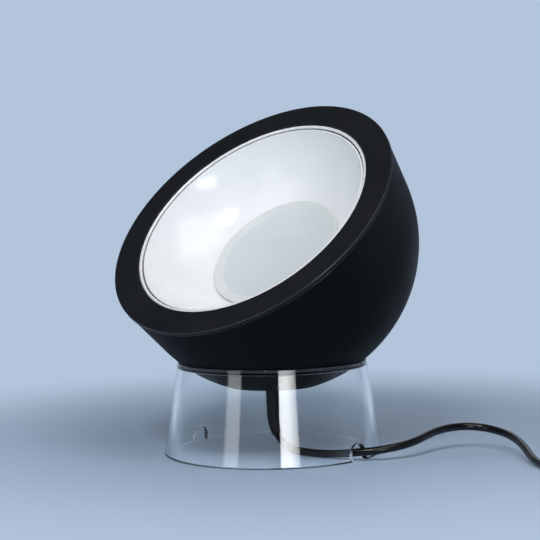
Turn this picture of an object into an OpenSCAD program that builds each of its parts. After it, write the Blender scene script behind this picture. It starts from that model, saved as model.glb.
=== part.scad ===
// Bowl-headed table lamp: a ball-shaped head with a flared, open mouth lies in a clear tapered glass ring.
// Origin: centre of the glass foot on the table. +Z is up and the mouth faces -Y and up.
// The head is built about the ball's centre, with its own axis along the mouth, and is then leaned forward.

/* [Bowl] */
// Outer radius of the ball
bowl_r = 115; // [105:1:125]
// Wall of the bowl
bowl_wall = 2; // [1.6:0.1:3]
// Half angle of the flared mouth, in degrees
flare = 6; // [5:0.5:7]
// Front face of the bezel, ahead of the ball's centre
mouth_ahead = 33.5; // [31:0.5:38]
// Lean of the mouth's axis from upright, in degrees
lean = 45; // [42:1:47]
// Depth of the flat cut under the ball
flat_depth = 5; // [4:0.5:7]
// Thickness of the plate above that flat
flat_plate = 2.5; // [2:0.1:4]

/* [Mouth] */
// Width of the bezel's face
bezel_w = 21; // [18:0.2:24]
// Thickness of the bezel
bezel_t = 3; // [2.4:0.1:4]
// Overhang of the bezel past the bowl's lip
bezel_overhang = 0.6; // [0.2:0.1:1.5]
// Shadow groove between the bezel and the bowl's lip
groove = 0.6; // [0.4:0.1:1]
// Wall of the skirt that centres the bezel in the bowl
skirt_wall = 1.8; // [1.2:0.1:2.2]
// Bevel on the bezel's and the lip's edges
edge_bevel = 0.5; // [0.2:0.1:0.8]
// Width of the bright trim bead
trim_w = 2.7; // [2:0.1:3.2]
// Dark gap between the trim bead and the reflector
trim_gap = 0.8; // [0.5:0.1:1.2]
// How far the trim bead lies behind the bezel's face
trim_recess = 1; // [0.5:0.1:1.5]
// Front face of the mouth ring, behind the bezel's face
ring_setback = 9.5; // [8.5:0.1:11]
// Thickness of the mouth ring
ring_t = 4; // [3:0.1:6]
// How far the mouth ring reaches inside the bezel's inner edge
ring_inset = 0.9; // [0.4:0.1:1.2]
// Number of bezel clips
clip_count = 6; // [4:1:8]
// Width of a bezel clip
clip_w = 9; // [6:0.5:12]
// Thickness of a bezel clip
clip_t = 1.2; // [0.8:0.1:1.5]
// Reach of a clip's barb
clip_barb = 1.2; // [0.8:0.1:1.6]
// Gap between the clips' barbs and the bezel's skirt
clip_gap = 1.1; // [0.6:0.1:1.6]

/* [Reflector] */
// Wall of the reflector
reflector_wall = 1.4; // [1:0.1:1.6]
// Width of the reflector's front edge
reflector_edge = 1.2; // [0.8:0.1:1.6]
// Depth of the reflector's front edge behind the bezel's face
reflector_recess = 2.5; // [1.5:0.1:3]
// Depth of the reflector's bottom edge behind the bezel's face
reflector_depth = 44; // [41:0.5:47]
// Radius of the hole in the reflector's bottom
reflector_hole_r = 53.8; // [52:0.2:56]
// Slope of the reflector at its front edge, in degrees from the axis
reflector_slope = 22; // [18:1:26]
// Gap between the reflector's flange and the clips
flange_gap = 2.5; // [1.5:0.1:3]
// Thickness of the reflector's flange
flange_t = 1.5; // [1:0.1:2]
// Distance of the reflector's screws from the flange's edge
flange_screw_in = 3.8; // [3.2:0.1:4.4]
// Number of reflector screws
flange_screw_count = 4; // [3:1:6]

/* [Light engine] */
// Radius of the diffuser's flat face
diffuser_face_r = 45.8; // [43:0.2:48]
// Rise of that face above the reflector's bottom edge
diffuser_rise = 1.1; // [0.5:0.1:1.6]
// Rise of the diffuser's rim above the reflector's bottom edge
diffuser_rim_rise = 3; // [2:0.1:4]
// Width of that rim
diffuser_rim_w = 0.8; // [0.5:0.1:1.5]
// Gap between the diffuser's rim and the reflector
diffuser_gap = 0.3; // [0.1:0.1:0.5]
// Thickness of the diffuser's flange
diffuser_flange_t = 1.9; // [1.5:0.1:2.5]
// Width of the diffuser's flange behind the reflector
diffuser_flange_w = 6.2; // [4:0.1:7]
// Height of the spacer between the diffuser and the board
spacer_h = 8.1; // [6:0.1:10]
// Wall of the spacer
spacer_wall = 7; // [5:0.1:7.4]
// Wall of the collar round the light engine
collar_wall = 2; // [1.5:0.1:2.4]
// Thickness of the LED board
board_t = 1.6; // [1:0.1:2]
// Thickness of the thermal pad
pad_t = 0.5; // [0.3:0.1:1]
// Inset of the LED board from the diffuser's flange
board_inset = 3; // [2:0.1:4]
// Inset of the thermal pad from the board
pad_inset = 2; // [1:0.1:3]
// Spacing of the rings of LED chips
chip_ring_step = 18; // [14:0.5:21]
// Chips in the inner ring; the outer ring has twice as many
chip_count = 8; // [6:1:10]
// Side of an LED chip
chip_side = 3; // [2:0.1:4]
// Height of an LED chip
chip_h = 0.8; // [0.6:0.1:1.2]
// Rim of the heat sink outside its screw bosses
sink_rim = 1; // [0.5:0.1:3]
// Thickness of the heat sink's plate
sink_plate = 6; // [4:0.5:8]
// Height of the heat sink's fins
fin_h = 22; // [16:1:24]
// Thickness of a fin
fin_t = 2.2; // [1.6:0.1:3]
// Fins on each side of the middle fin
fins_each_side = 4; // [3:1:4]
// Gap between the screw bosses and the collar
boss_gap = 0.8; // [0.4:0.1:1.5]
// Length of a heat sink screw in its boss
sink_screw_grip = 8; // [6:0.5:10]
// Number of heat sink screws
sink_screw_count = 3; // [3:3:3]
// Radius of the bosses that take them
boss_r = 4; // [3.2:0.1:4.2]
// Radius of the hole for the LED wires
wire_hole_r = 3.5; // [3:0.1:4]
// Distance of that hole from the board's edge
wire_hole_in = 4.5; // [4:0.1:6]
// Radius of an LED wire
wire_r = 0.9; // [0.6:0.1:1]

/* [Driver] */
// Length of the driver case
driver_l = 84; // [76:1:88]
// Width of the driver case
driver_w = 40; // [36:1:44]
// Height of the driver case
driver_h = 22; // [20:1:26]
// Wall of the driver case
driver_wall = 1.6; // [1.2:0.1:2]
// Thickness of the driver's lid
driver_lid_t = 1.5; // [1:0.1:2.5]
// Length of the driver's fixing ears
ear_l = 11; // [10:0.5:12]
// Thickness of the ears
ear_t = 2; // [1.5:0.1:3]
// Thickness of the driver's circuit board
circuit_t = 1.6; // [1:0.1:2]
// Length of the terminal block
block_l = 30; // [24:1:36]
// Width of the terminal block
block_w = 16; // [14:1:18]
// Height of the terminal block
block_h = 14; // [12:0.5:16]
// Radius of the terminal screws
terminal_screw_r = 2; // [1.5:0.1:2.4]
// Depth of the terminal screws in their wells
terminal_screw_sink = 1; // [0.5:0.1:2]

/* [Screws] */
// Radius of a small screw's shank
screw_r = 1.4; // [1.2:0.1:1.5]
// Radius of its head
screw_head_r = 2.8; // [2.4:0.1:3]
// Height of its head
screw_head_h = 2; // [1.5:0.1:2.4]
// Clearance of a shank in its hole
screw_clear = 0.1; // [0.05:0.05:0.3]

/* [Cable entry] */
// Radius of the gland's thread
gland_r = 6; // [5:0.1:7]
// Height of the gland inside the bowl
gland_h = 12; // [9:0.5:14]
// Radius of the gland's outer collar
gland_collar_r = 8; // [7.5:0.1:9]
// Thickness of that collar
gland_collar_t = 1.5; // [1:0.1:2]
// Radius of the gland's nut over its corners
nut_r = 9.5; // [9:0.1:11]
// Height of the nut
nut_h = 4.5; // [3:0.1:6]
// Length of the strain-relief boot along its bend
boot_l = 37; // [35:0.5:42]
// Straight length at the boot's root
boot_straight = 20.5; // [14:0.5:24]
// Radius of the boot at its root
boot_root_r = 5.3; // [4.8:0.1:6]
// Radius of the boot at its tip
boot_tip_r = 3.9; // [3.6:0.1:4.2]
// Bend radius of the boot
boot_bend = 24.5; // [24:0.5:34]

/* [Glass base] */
// Outer radius of the glass foot
foot_r = 84.6; // [80:0.2:90]
// Outer radius of the glass rim
rim_r = 72.8; // [71:0.2:74]
// Height of the glass rim
base_h = 71; // [67:0.5:75]
// Wall of the glass
glass_wall = 4.5; // [3.5:0.1:5.5]
// Bevel round the foot's edges
foot_bevel = 0.8; // [0.4:0.1:1.2]
// Width of a lead notch
notch_w = 17; // [15:0.5:19]
// Height of a lead notch
notch_h = 12.5; // [11.5:0.5:14]
// Thickness of the seat ring
seat_t = 1; // [0.8:0.1:1.4]
// Running gap on each side of the seat ring
seat_gap = 0.25; // [0.2:0.05:0.4]
// Width of the seat ring inside the glass wall
seat_inside = 1; // [0.5:0.1:1.5]
// Width of the glass lip round the seat ring
lip_w = 1.5; // [1:0.1:2]

/* [Lead and plug] */
// Diameter of the lead
lead_d = 6; // [5.4:0.1:6.4]
// Radius of the coil's outer turn, at the lead's middle
coil_out_r = 43; // [42:0.5:44]
// Radius of the coil's inner turn, at the lead's middle
coil_in_r = 24.2; // [23.5:0.1:25]
// Thickness of a coil tie
tie_t = 0.9; // [0.6:0.1:1]
// Width of a coil tie
tie_w = 9; // [6:0.5:12]
// Length of the plug's strain relief
plug_relief_l = 30; // [24:1:34]
// Wall of that relief at the lead
plug_relief_thin = 0.5; // [0.3:0.1:1]
// Wall of that relief at the plug
plug_relief_thick = 2.5; // [2:0.1:3]
// Length of the plug's body
plug_l = 38; // [34:1:42]
// Width of the plug's body
plug_w = 31; // [29:1:34]
// Height of the plug's body
plug_h = 16; // [14:0.5:16]
// Bevel on the plug's corners
plug_bevel = 2; // [1:0.1:3]
// Diameter of a plug pin
pin_d = 4.8; // [4:0.1:5]
// Length of a plug pin
pin_l = 19; // [17:0.5:20]
// Spacing of the pins
pin_spacing = 19; // [18:0.1:20]

/* [Cord switch] */
// Length of the switch's case
switch_l = 66; // [60:1:70]
// Width of the switch's case
switch_w = 26; // [24:0.5:30]
// Height of the switch's case
switch_h = 18; // [17.5:0.1:20]
// Wall of the case
switch_wall = 2; // [1.5:0.1:2.4]
// Corner radius of the case
switch_corner = 8; // [5:0.5:9]
// Length of the rocker
rocker_l = 20.4; // [18:0.2:22]
// Width of the rocker
rocker_w = 10.6; // [9:0.2:11]
// Height of the rocker's ends above the case
rocker_rise = 2; // [1.6:0.1:3]
// Tip of the rocker to each side, in degrees
rocker_tip = 7; // [5:0.5:8]
// Clearance round the rocker
rocker_clear = 1; // [0.8:0.1:1.4]
// Depth of the rocker's valley line above the case
rocker_valley = 0.4; // [0.2:0.1:1]
// Bevel on the rocker's ends
rocker_bevel = 0.6; // [0.3:0.1:1]
// Depth of the rocker's pin under the case's top
rocker_pin_depth = 4; // [3.5:0.1:5]
// Depth of the rocker's foot under its pin
rocker_foot = 3; // [2:0.1:3.4]
// Distance of the case screws from the case's ends
switch_screw_in = 9; // [8:0.5:12]
// Length of a contact strip
contact_l = 12; // [10:0.5:14]
// Width of a contact strip
contact_w = 4; // [3:0.5:6]
// Thickness of a contact strip
contact_t = 1; // [0.6:0.1:1.2]
// Distance of the strips' middles from the rocker's pin
contact_x = 10; // [9:0.5:11]
// Radius of a contact button
button_r = 1.5; // [1:0.1:2]
// Radius of the rocker's pin
rocker_pin_r = 1; // [0.8:0.1:1.3]
// Running clearance of the rocker on its pin
pin_clear = 0.05; // [0.02:0.01:0.08]

/* [Hidden] */
$fn = 96;
// Clearance between pieces that are fitted to each other and don't move
fit = 0.1;
// Overshoot of a cutting shape past the face that it cuts
over = 1;

// Ball surfaces that the glass lip and the seat's recess follow
lip_sphere = bowl_r + seat_gap + fit;
seat_sphere = bowl_r + seat_gap + seat_t + seat_gap;
// Heights of the ball's centre and its flat underside
ball_z = base_h + sqrt(pow(lip_sphere, 2) - pow(rim_r, 2));
flat_z = ball_z - bowl_r + flat_depth;

// Places along the mouth's axis, ahead of the ball's centre
bezel_back = mouth_ahead - bezel_t;
lip_s = bezel_back - groove;
ring_front = mouth_ahead - ring_setback;
ring_back = ring_front - ring_t;
flange_front = ring_front + flange_t;
reflector_front = mouth_ahead - reflector_recess;
hole_s = mouth_ahead - reflector_depth;
diffuser_front = hole_s + diffuser_rise;
diffuser_rim_s = hole_s + diffuser_rim_rise;
flange_top = hole_s - reflector_wall - fit;
diffuser_back = flange_top - diffuser_flange_t;
board_front = diffuser_back - spacer_h;
board_back = board_front - board_t;
sink_front = board_back - pad_t;
sink_back = sink_front - sink_plate;
fin_tip = sink_back - fin_h;
driver_back = fin_tip - driver_h;

// Radii at the mouth
bezel_r = flare_r(bowl_r, lip_s) + bezel_overhang;
bezel_in_r = bezel_r - bezel_w;
ring_in_r = bezel_in_r - ring_inset;
skirt_r = flare_r(bowl_r - bowl_wall, ring_front) - 3 * fit;
clip_r = skirt_r - skirt_wall - clip_gap - clip_barb - clip_t;
flange_r = clip_r - flange_gap;
flange_screw_r = flange_r - flange_screw_in;
reflector_r = bezel_in_r - trim_w - trim_gap - reflector_edge;

// Arc of the reflector's inner face, from its front edge down to its bottom edge
arc_top = [reflector_r, reflector_front];
arc_end = [reflector_hole_r, hole_s];
arc_chord = arc_top - arc_end;
arc_half = atan2(arc_chord[0], arc_chord[1]) - reflector_slope;
arc_r = norm(arc_chord) / (2 * sin(arc_half));
arc_mid = arc_top + arc_r * [-cos(reflector_slope), sin(reflector_slope)];

// Radii round the light engine
diffuser_r = reflector_hole_r - diffuser_gap;
diffuser_flange_r = reflector_hole_r + diffuser_flange_w;
collar_in_r = diffuser_flange_r + 2 * fit;
board_r = diffuser_flange_r - board_inset;
pad_r = board_r - pad_inset;
wire_hole_y = wire_hole_r + wire_hole_in - board_r;
fin_pitch = -wire_hole_y / 3.5;
sink_screw_r = collar_in_r + collar_wall + boss_gap + boss_r;
sink_r = sink_screw_r + boss_r + sink_rim;

// Angle of the first reflector screw, and of the first heat sink screw
flange_screw_turn = 45;
sink_screw_turn = 90;

// Driver's fixing posts and the terminal block's place
post_x = driver_l / 2 + ear_l / 2;
post_r = boss_r;
block_mid_s = fin_tip - driver_h / 2;

// Lead: radius, notch and its free height
lead_r = lead_d / 2;
notch_r = notch_w / 2;

// Boot: from the gland's collar straight down, then in an arc that heads for the notch
boot_top_z = flat_z - gland_collar_t;
boot_heading = -10;
boot_steps = 8;
boot_turn = (boot_l - boot_straight) / boot_bend * 180 / PI;
boot_path = concat(
    [[0, 0, boot_top_z]],
    [for (i = [0 : boot_steps]) boot_point(boot_turn * i / boot_steps)]);

// Fall of the lead from the boot's tip to the table inside the glass
tip_way = [sin(boot_turn) * cos(boot_heading), sin(boot_turn) * sin(boot_heading), -cos(boot_turn)];
fall_start = boot_point(boot_turn) + 8 * fit * tip_way;
fall_end = [25.5, -4.5, lead_r];
fall_reach = 1.17 * lead_d;
fall_pull = fall_start + fall_reach * tip_way;
fall_lie = fall_end - fall_reach * [1, -0.17, 0];
fall_steps = 5;
fall_route = [
    for (i = [0 : fall_steps - 1]) bezier(fall_start, fall_pull, fall_lie, fall_end, i / fall_steps)];
// Way of the lead over the table to the switch, with the height of its underside
table_way = [
    [25.5, -4.5, 0], [34, -5.7, 0], [43, -6.4, 0], [53, -6.5, 0.3], [64, -5, 1], [73, -3, 2], [81, 0, 3],
    [91, 6, 4], [99, 14, 5.5],
    [105, 25, 7], [108, 38, 9], [108, 52, 11], [108, 66, 12.5], [111, 80, 13.5], [118, 92, 13.5],
    [129, 99, 12.5], [142, 99, 11], [155, 94, 9.5], [167, 86, 7.5], [178, 76, 5.5], [188, 66, 3],
    [198, 56, 1], [208, 48, 0], [219, 41, 0], [231, 37, 1.5], [243, 36, 4.5], [254, 36, 6], [262, 36, 6]];
lead_route = concat(fall_route, [for (p = table_way) p + [0, 0, lead_r]]);
// The length up to this point bends when the head moves
drop_last = fall_steps + 5;
// Middle of the switch, of the coil, and the plug's place
switch_mid = [289, 36];
coil_mid = [311, 100];
coil_layers = 2;
coil_low_z = tie_t + lead_r;
coil_high_z = coil_low_z + lead_d + fit;
plug_start = [284, coil_mid[1] + coil_out_r];
plug_axis_z = plug_h / 2;
// Route from the switch to the coil, and from the coil to the plug
tail_x = coil_mid[0] + coil_out_r;
tail_route = [
    [316, 36, 6 + lead_r], [325, 36, 6 + lead_r], [336, 38.5, 5 + lead_r], [345, 45, 3.5 + lead_r],
    [351, 54, 2 + lead_r], [tail_x, 66, coil_low_z], [tail_x, 82, coil_low_z],
    [tail_x, coil_mid[1], coil_low_z]];
end_route = [
    [coil_mid[0], plug_start[1], coil_high_z], [302, plug_start[1], 0.7 * coil_high_z + 0.3 * plug_axis_z],
    [294, plug_start[1], 0.2 * coil_high_z + 0.8 * plug_axis_z], [289, plug_start[1], plug_axis_z],
    [plug_start[0] + fit, plug_start[1], plug_axis_z]];
tie_angles = [60, 240];

// Rocker: height of its pin, and the window that it sits in
rocker_pin_z = switch_h - rocker_pin_depth;
cheek_l = 8;
cheek_t = 2.2;
cheek_foot = 2.5;
cheek_y = rocker_w / 2 + 0.8 * rocker_clear;
switch_boss_r = 3;

// Radius of the flared mouth of a ball of radius r, at s ahead of its centre
function flare_r(r, s) = r / cos(flare) + s * tan(flare);

// Middle surface of the reflector's wall: its place along the axis at radius r, a share of the wall outwards
function wall_s(r, share) = let (out = arc_r + share * reflector_wall)
    arc_mid[1] - sqrt(pow(out, 2) - pow(r - arc_mid[0], 2));

// Point on the boot's arc after a turn of a degrees
function boot_point(a) = let (out = boot_bend * (1 - cos(a)))
    [out * cos(boot_heading), out * sin(boot_heading), boot_top_z - boot_straight - boot_bend * sin(a)];

// Head-frame point to the lamp's frame
function from_head(p) = [
    p[0],
    p[1] * cos(lean) - p[2] * sin(lean),
    ball_z + p[1] * sin(lean) + p[2] * cos(lean)];

function unit(v) = v / norm(v);
function tangent(p, i) = unit(p[min(i + 1, len(p) - 1)] - p[max(i - 1, 0)]);
function bezier(a, b, c, d, t) =
    pow(1 - t, 3) * a + 3 * pow(1 - t, 2) * t * b + 3 * (1 - t) * t * t * c + pow(t, 3) * d;

// Ring of points round c, square to the direction t
function ring_points(c, t, ref, r, sides) =
    let (u = unit(cross(ref, t)), v = cross(t, u))
    [for (k = [0 : sides - 1]) c + r * (cos(360 * k / sides) * u + sin(360 * k / sides) * v)];

// Tube along the points from first to last of a route, its radius changing evenly from r1 to r2
module swept(route, first, last, r1, r2, ref = [0, 0, 1], sides = 12) {
    rows = last - first + 1;
    points = [
        for (i = [first : last])
            let (r = r1 + (r2 - r1) * (i - first) / (rows - 1))
            each ring_points(route[i], tangent(route, i), ref, r, sides)];
    walls = [
        for (i = [0 : rows - 2], k = [0 : sides - 1])
            let (n = (k + 1) % sides)
            [i * sides + k, (i + 1) * sides + k, (i + 1) * sides + n, i * sides + n]];
    caps = [
        [for (k = [0 : sides - 1]) k],
        [for (k = [sides - 1 : -1 : 0]) (rows - 1) * sides + k]];
    polyhedron(points = points, faces = concat(walls, caps), convexity = 8);
}

module in_head() {
    translate([0, 0, ball_z]) rotate([lean, 0, 0]) children();
}

// Ring between two radii and two places along its axis
module band(r_in, r_out, from, to) {
    rotate_extrude() translate([r_in, from]) square([r_out - r_in, to - from]);
}

// Copies in a ring of count round the axis, the first at angle start
module around(count, start = 0) {
    for (i = [0 : count - 1]) rotate([0, 0, start + 360 * i / count]) children();
}

// Ball with a flared mouth that ends at front, its front corner bevelled
module bowl_solid(r, front, bevel) {
    rotate_extrude() {
        intersection() {
            circle(r = r);
            translate([0, -r]) square([r, r]);
        }
        polygon([
            [0, -r * sin(flare)], [r * cos(flare), -r * sin(flare)],
            [flare_r(r, front - bevel), front - bevel], [flare_r(r, front) - bevel, front], [0, front]]);
    }
}

// Everything under a height, wide enough for the whole head
module below(z) {
    translate([-bowl_r, -bowl_r, z - 2 * bowl_r]) cube([2 * bowl_r, 2 * bowl_r, 2 * bowl_r]);
}

// Screw along the axis: head from 0 up, shank from 0 down
module screw(shank_l) {
    cylinder(r = screw_head_r, h = screw_head_h);
    translate([0, 0, -shank_l]) cylinder(r = screw_r, h = shank_l);
}

module glass_base() {
    slope = (foot_r - rim_r) / base_h;
    color("#cfe3ee", 0.35) difference() {
        rotate_extrude() polygon([
            [foot_r - glass_wall + foot_bevel, 0], [foot_r - foot_bevel, 0],
            [foot_r - slope * foot_bevel, foot_bevel], [rim_r, base_h], [rim_r - glass_wall, base_h],
            [foot_r - glass_wall - slope * foot_bevel, foot_bevel]]);
        translate([0, 0, ball_z]) sphere(r = lip_sphere);
        intersection() {
            translate([0, 0, ball_z]) sphere(r = seat_sphere);
            cylinder(r = rim_r - lip_w, h = 2 * base_h);
        }
        translate([0, 0, notch_h - notch_r]) rotate([0, 90, 0])
            cylinder(r = notch_r, h = 2 * foot_r + 2 * over, center = true);
        translate([-foot_r - over, -notch_r, -over])
            cube([2 * foot_r + 2 * over, notch_w, notch_h - notch_r + over]);
    }
}

// Thin part of a ball shell between the glass lip and a little inside the glass wall
module seat_ring() {
    inner = bowl_r + seat_gap;
    outer = inner + seat_t;
    high = asin((rim_r - lip_w - seat_gap) / seat_sphere);
    low = asin((rim_r - glass_wall - seat_inside) / seat_sphere);
    color("#101114") translate([0, 0, ball_z]) rotate_extrude() intersection() {
        difference() {
            circle(r = outer);
            circle(r = inner);
        }
        polygon([
            [0, 0], 2 * outer * [sin(low), -cos(low)], 2 * outer * [sin(high), -cos(high)]]);
    }
}

module head_shell() {
    color("#14151a") difference() {
        in_head() bowl_solid(bowl_r, lip_s, edge_bevel);
        below(flat_z);
        difference() {
            in_head() bowl_solid(bowl_r - bowl_wall, lip_s + over, 0);
            below(flat_z + flat_plate);
        }
        translate([0, 0, flat_z - over]) cylinder(r = gland_r + fit, h = flat_plate + 2 * over);
    }
}

module mouth_ring() {
    wall = bowl_r - bowl_wall;
    color("#8f9296") in_head() difference() {
        rotate_extrude() polygon([
            [ring_in_r, ring_back], [flare_r(wall, ring_back) - fit, ring_back],
            [flare_r(wall, ring_front) - fit, ring_front], [ring_in_r, ring_front]]);
        around(flange_screw_count, flange_screw_turn) translate([flange_screw_r, 0, ring_back - over])
            cylinder(r = screw_r + screw_clear, h = ring_t + 2 * over);
        around(clip_count) translate([clip_r - 3 * fit, -clip_w / 2 - 3 * fit, ring_back - over])
            cube([clip_t + 6 * fit, clip_w + 6 * fit, ring_t + 2 * over]);
    }
}

module front_bezel() {
    color("#24262c") in_head() rotate_extrude() polygon([
        [bezel_in_r, bezel_back], [bezel_in_r, mouth_ahead - edge_bevel],
        [bezel_in_r + edge_bevel, mouth_ahead], [bezel_r - edge_bevel, mouth_ahead],
        [bezel_r, mouth_ahead - edge_bevel], [bezel_r, bezel_back],
        [skirt_r, bezel_back], [skirt_r, ring_front], [skirt_r - skirt_wall, ring_front],
        [skirt_r - skirt_wall, bezel_back]]);
}

module bezel_clips() {
    barb_h = 1.5;
    barb_top = ring_back - fit;
    color("#b9bcc0") in_head() around(clip_count) {
        translate([clip_r, -clip_w / 2, barb_top - barb_h])
            cube([clip_t, clip_w, bezel_back - barb_top + barb_h]);
        translate([clip_r, -clip_w / 2, barb_top - barb_h]) cube([clip_t + clip_barb, clip_w, barb_h]);
    }
}

module trim_ring() {
    bead_r = trim_w / 2 - fit / 2;
    bead_mid = bezel_in_r - trim_w / 2;
    bead_s = mouth_ahead - trim_recess - bead_r;
    color("#e6e7ea") in_head() rotate_extrude() {
        translate([bead_mid, bead_s]) circle(r = bead_r);
        translate([bead_mid - bead_r / 2, flange_front]) square([bead_r, bead_s - flange_front]);
    }
}

// Space in front of a share of the reflector's wall
module bowl_space(share) {
    rotate_extrude() intersection() {
        translate(arc_mid) circle(r = arc_r + share * reflector_wall);
        translate([0, diffuser_back]) square([bezel_r, reflector_front - diffuser_back + over]);
    }
}

module reflector() {
    far = 3 * arc_r;
    flange_in_r = arc_mid[0] + sqrt(pow(arc_r + reflector_wall / 2, 2) - pow(ring_front - arc_mid[1], 2));
    color("#f2f4f6") in_head() difference() {
        union() {
            rotate_extrude() {
                intersection() {
                    translate(arc_mid) difference() {
                        circle(r = arc_r + reflector_wall);
                        circle(r = arc_r);
                    }
                    polygon([
                        arc_mid, arc_mid + far * unit(arc_top - arc_mid),
                        arc_mid + far * unit(arc_top + arc_end - 2 * arc_mid),
                        arc_mid + far * unit(arc_end - arc_mid)]);
                }
                translate([flange_in_r, ring_front]) square([flange_r - flange_in_r, flange_t]);
                polygon([
                    [collar_in_r, sink_front], [collar_in_r + collar_wall, sink_front],
                    [collar_in_r + collar_wall, wall_s(collar_in_r + collar_wall, 0.5)],
                    [collar_in_r, wall_s(collar_in_r, 0.5)]]);
            }
            around(sink_screw_count, sink_screw_turn) difference() {
                translate([sink_screw_r, 0, sink_front])
                    cylinder(r = boss_r, h = hole_s - sink_front + 3 * boss_r);
                bowl_space(0.4);
                band(0, collar_in_r + collar_wall / 2, sink_front - over, hole_s + 4 * boss_r);
            }
        }
        around(sink_screw_count, sink_screw_turn) translate([sink_screw_r, 0, sink_front - over])
            cylinder(r = screw_r + screw_clear, h = over + hole_s - sink_front - fit);
        around(flange_screw_count, flange_screw_turn) translate([flange_screw_r, 0, ring_front - over])
            cylinder(r = screw_r + 3 * screw_clear, h = flange_t + 2 * over);
    }
}

module reflector_screws() {
    color("#c8cacd") in_head() around(flange_screw_count, flange_screw_turn)
        translate([flange_screw_r, 0, flange_front]) screw(flange_t + ring_t);
}

module diffuser() {
    color("#dfe3e6", 0.9) in_head() rotate_extrude() polygon([
        [0, diffuser_back], [diffuser_flange_r, diffuser_back], [diffuser_flange_r, flange_top],
        [diffuser_r, flange_top], [diffuser_r, diffuser_rim_s - edge_bevel],
        [diffuser_r - edge_bevel, diffuser_rim_s], [diffuser_r - diffuser_rim_w, diffuser_rim_s],
        [diffuser_face_r, diffuser_front], [0, diffuser_front]]);
}

module diffuser_ring() {
    color("#eceded") in_head()
        band(diffuser_flange_r - spacer_wall, diffuser_flange_r, board_front, diffuser_back);
}

module led_board() {
    color("#f4f4f0") in_head() difference() {
        translate([0, 0, board_back]) cylinder(r = board_r, h = board_t);
        translate([0, wire_hole_y, board_back - over]) cylinder(r = wire_hole_r, h = board_t + 2 * over);
    }
}

module led_chips() {
    color("#e9c84a") in_head() for (row = [1, 2])
        around(row * chip_count)
            translate([row * chip_ring_step - chip_side / 2, -chip_side / 2, board_front])
                cube([chip_side, chip_side, chip_h]);
}

module thermal_pad() {
    color("#9fb2bd") in_head() difference() {
        translate([0, 0, sink_front]) cylinder(r = pad_r, h = pad_t);
        translate([0, wire_hole_y, sink_front - over]) cylinder(r = wire_hole_r, h = pad_t + 2 * over);
    }
}

module heat_sink() {
    color("#a9adb2") in_head() difference() {
        union() {
            translate([0, 0, sink_back]) cylinder(r = sink_r, h = sink_plate);
            intersection() {
                translate([0, 0, fin_tip]) cylinder(r = sink_r - over, h = fin_h + over);
                for (i = [-fins_each_side : fins_each_side])
                    translate([-sink_r, i * fin_pitch - fin_t / 2, fin_tip])
                        cube([2 * sink_r, fin_t, fin_h + over]);
            }
            for (side = [-1, 1])
                translate([side * post_x, 0, fin_tip]) cylinder(r = post_r, h = fin_h + over);
        }
        around(sink_screw_count, sink_screw_turn) translate([sink_screw_r, 0, sink_back - over])
            cylinder(r = screw_r + 3 * screw_clear, h = sink_plate + 2 * over);
        for (side = [-1, 1]) translate([side * post_x, 0, fin_tip - over])
            cylinder(r = screw_r + screw_clear, h = fin_h / 2 + over);
        translate([0, wire_hole_y, sink_back - over]) cylinder(r = wire_hole_r, h = sink_plate + 2 * over);
    }
}

module heat_sink_screws() {
    color("#c8cacd") in_head() around(sink_screw_count, sink_screw_turn)
        translate([sink_screw_r, 0, sink_back]) rotate([180, 0, 0]) screw(sink_plate + sink_screw_grip);
}

// Open box whose mouth faces the bowl's back, with an ear at each end
module driver_case() {
    color("#e8e9ea") in_head() difference() {
        union() {
            translate([-driver_l / 2, -driver_w / 2, driver_back]) cube([driver_l, driver_w, driver_h]);
            translate([-driver_l / 2 - ear_l, -driver_w / 4, fin_tip - ear_t])
                cube([driver_l + 2 * ear_l, driver_w / 2, ear_t]);
        }
        translate([-driver_l / 2 + driver_wall, -driver_w / 2 + driver_wall, driver_back - over])
            cube([driver_l - 2 * driver_wall, driver_w - 2 * driver_wall, driver_h - driver_wall + over]);
        for (side = [-1, 1]) translate([side * post_x, 0, fin_tip - ear_t - over])
            cylinder(r = screw_r + 3 * screw_clear, h = ear_t + 2 * over);
    }
}

module driver_lid() {
    color("#dadbdd") in_head() translate([-driver_l / 2, -driver_w / 2, driver_back - driver_lid_t])
        cube([driver_l, driver_w, driver_lid_t]);
}

module driver_board() {
    l = driver_l - 2 * driver_wall - 2 * fit;
    w = driver_w - 2 * driver_wall - 2 * fit;
    color("#2f6b45") in_head()
        translate([-l / 2, -w / 2, fin_tip - driver_wall - circuit_t]) cube([l, w, circuit_t]);
}

// Transformer, two round capacitors and an inductor on the driver's board
module driver_parts() {
    top = fin_tip - driver_wall - circuit_t;
    room = 0.8 * (driver_h - driver_wall - circuit_t);
    wide = driver_w / 2;
    color("#3a3d42") in_head() {
        translate([-0.22 * wide, -wide / 2, top - room]) cube([wide, wide, room]);
        for (side = [-1, 1])
            translate([-0.31 * driver_l, side * 0.35 * wide, top - room]) cylinder(r = wide / 4, h = room);
        translate([driver_l / 4, -0.4 * wide, top - room / 2]) cube([wide / 2, 0.8 * wide, room / 2]);
    }
}

module driver_screws() {
    color("#c8cacd") in_head() for (side = [-1, 1])
        translate([side * post_x, 0, fin_tip - ear_t]) rotate([180, 0, 0]) screw(ear_t + fin_h / 3);
}

// Block on the driver's lower side, with a bore for the lead's end and two screw wells
module terminal_block() {
    color("#d9d4c4") in_head() difference() {
        translate([-block_l / 2, -driver_w / 2 - block_w, block_mid_s - block_h / 2])
            cube([block_l, block_w, block_h]);
        for (side = [-1, 1])
            translate([side * block_l / 4, -driver_w / 2 - block_w / 2, block_mid_s - block_h / 2 - over])
                cylinder(r = terminal_screw_r + fit, h = block_h / 2 + over);
    }
}

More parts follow.
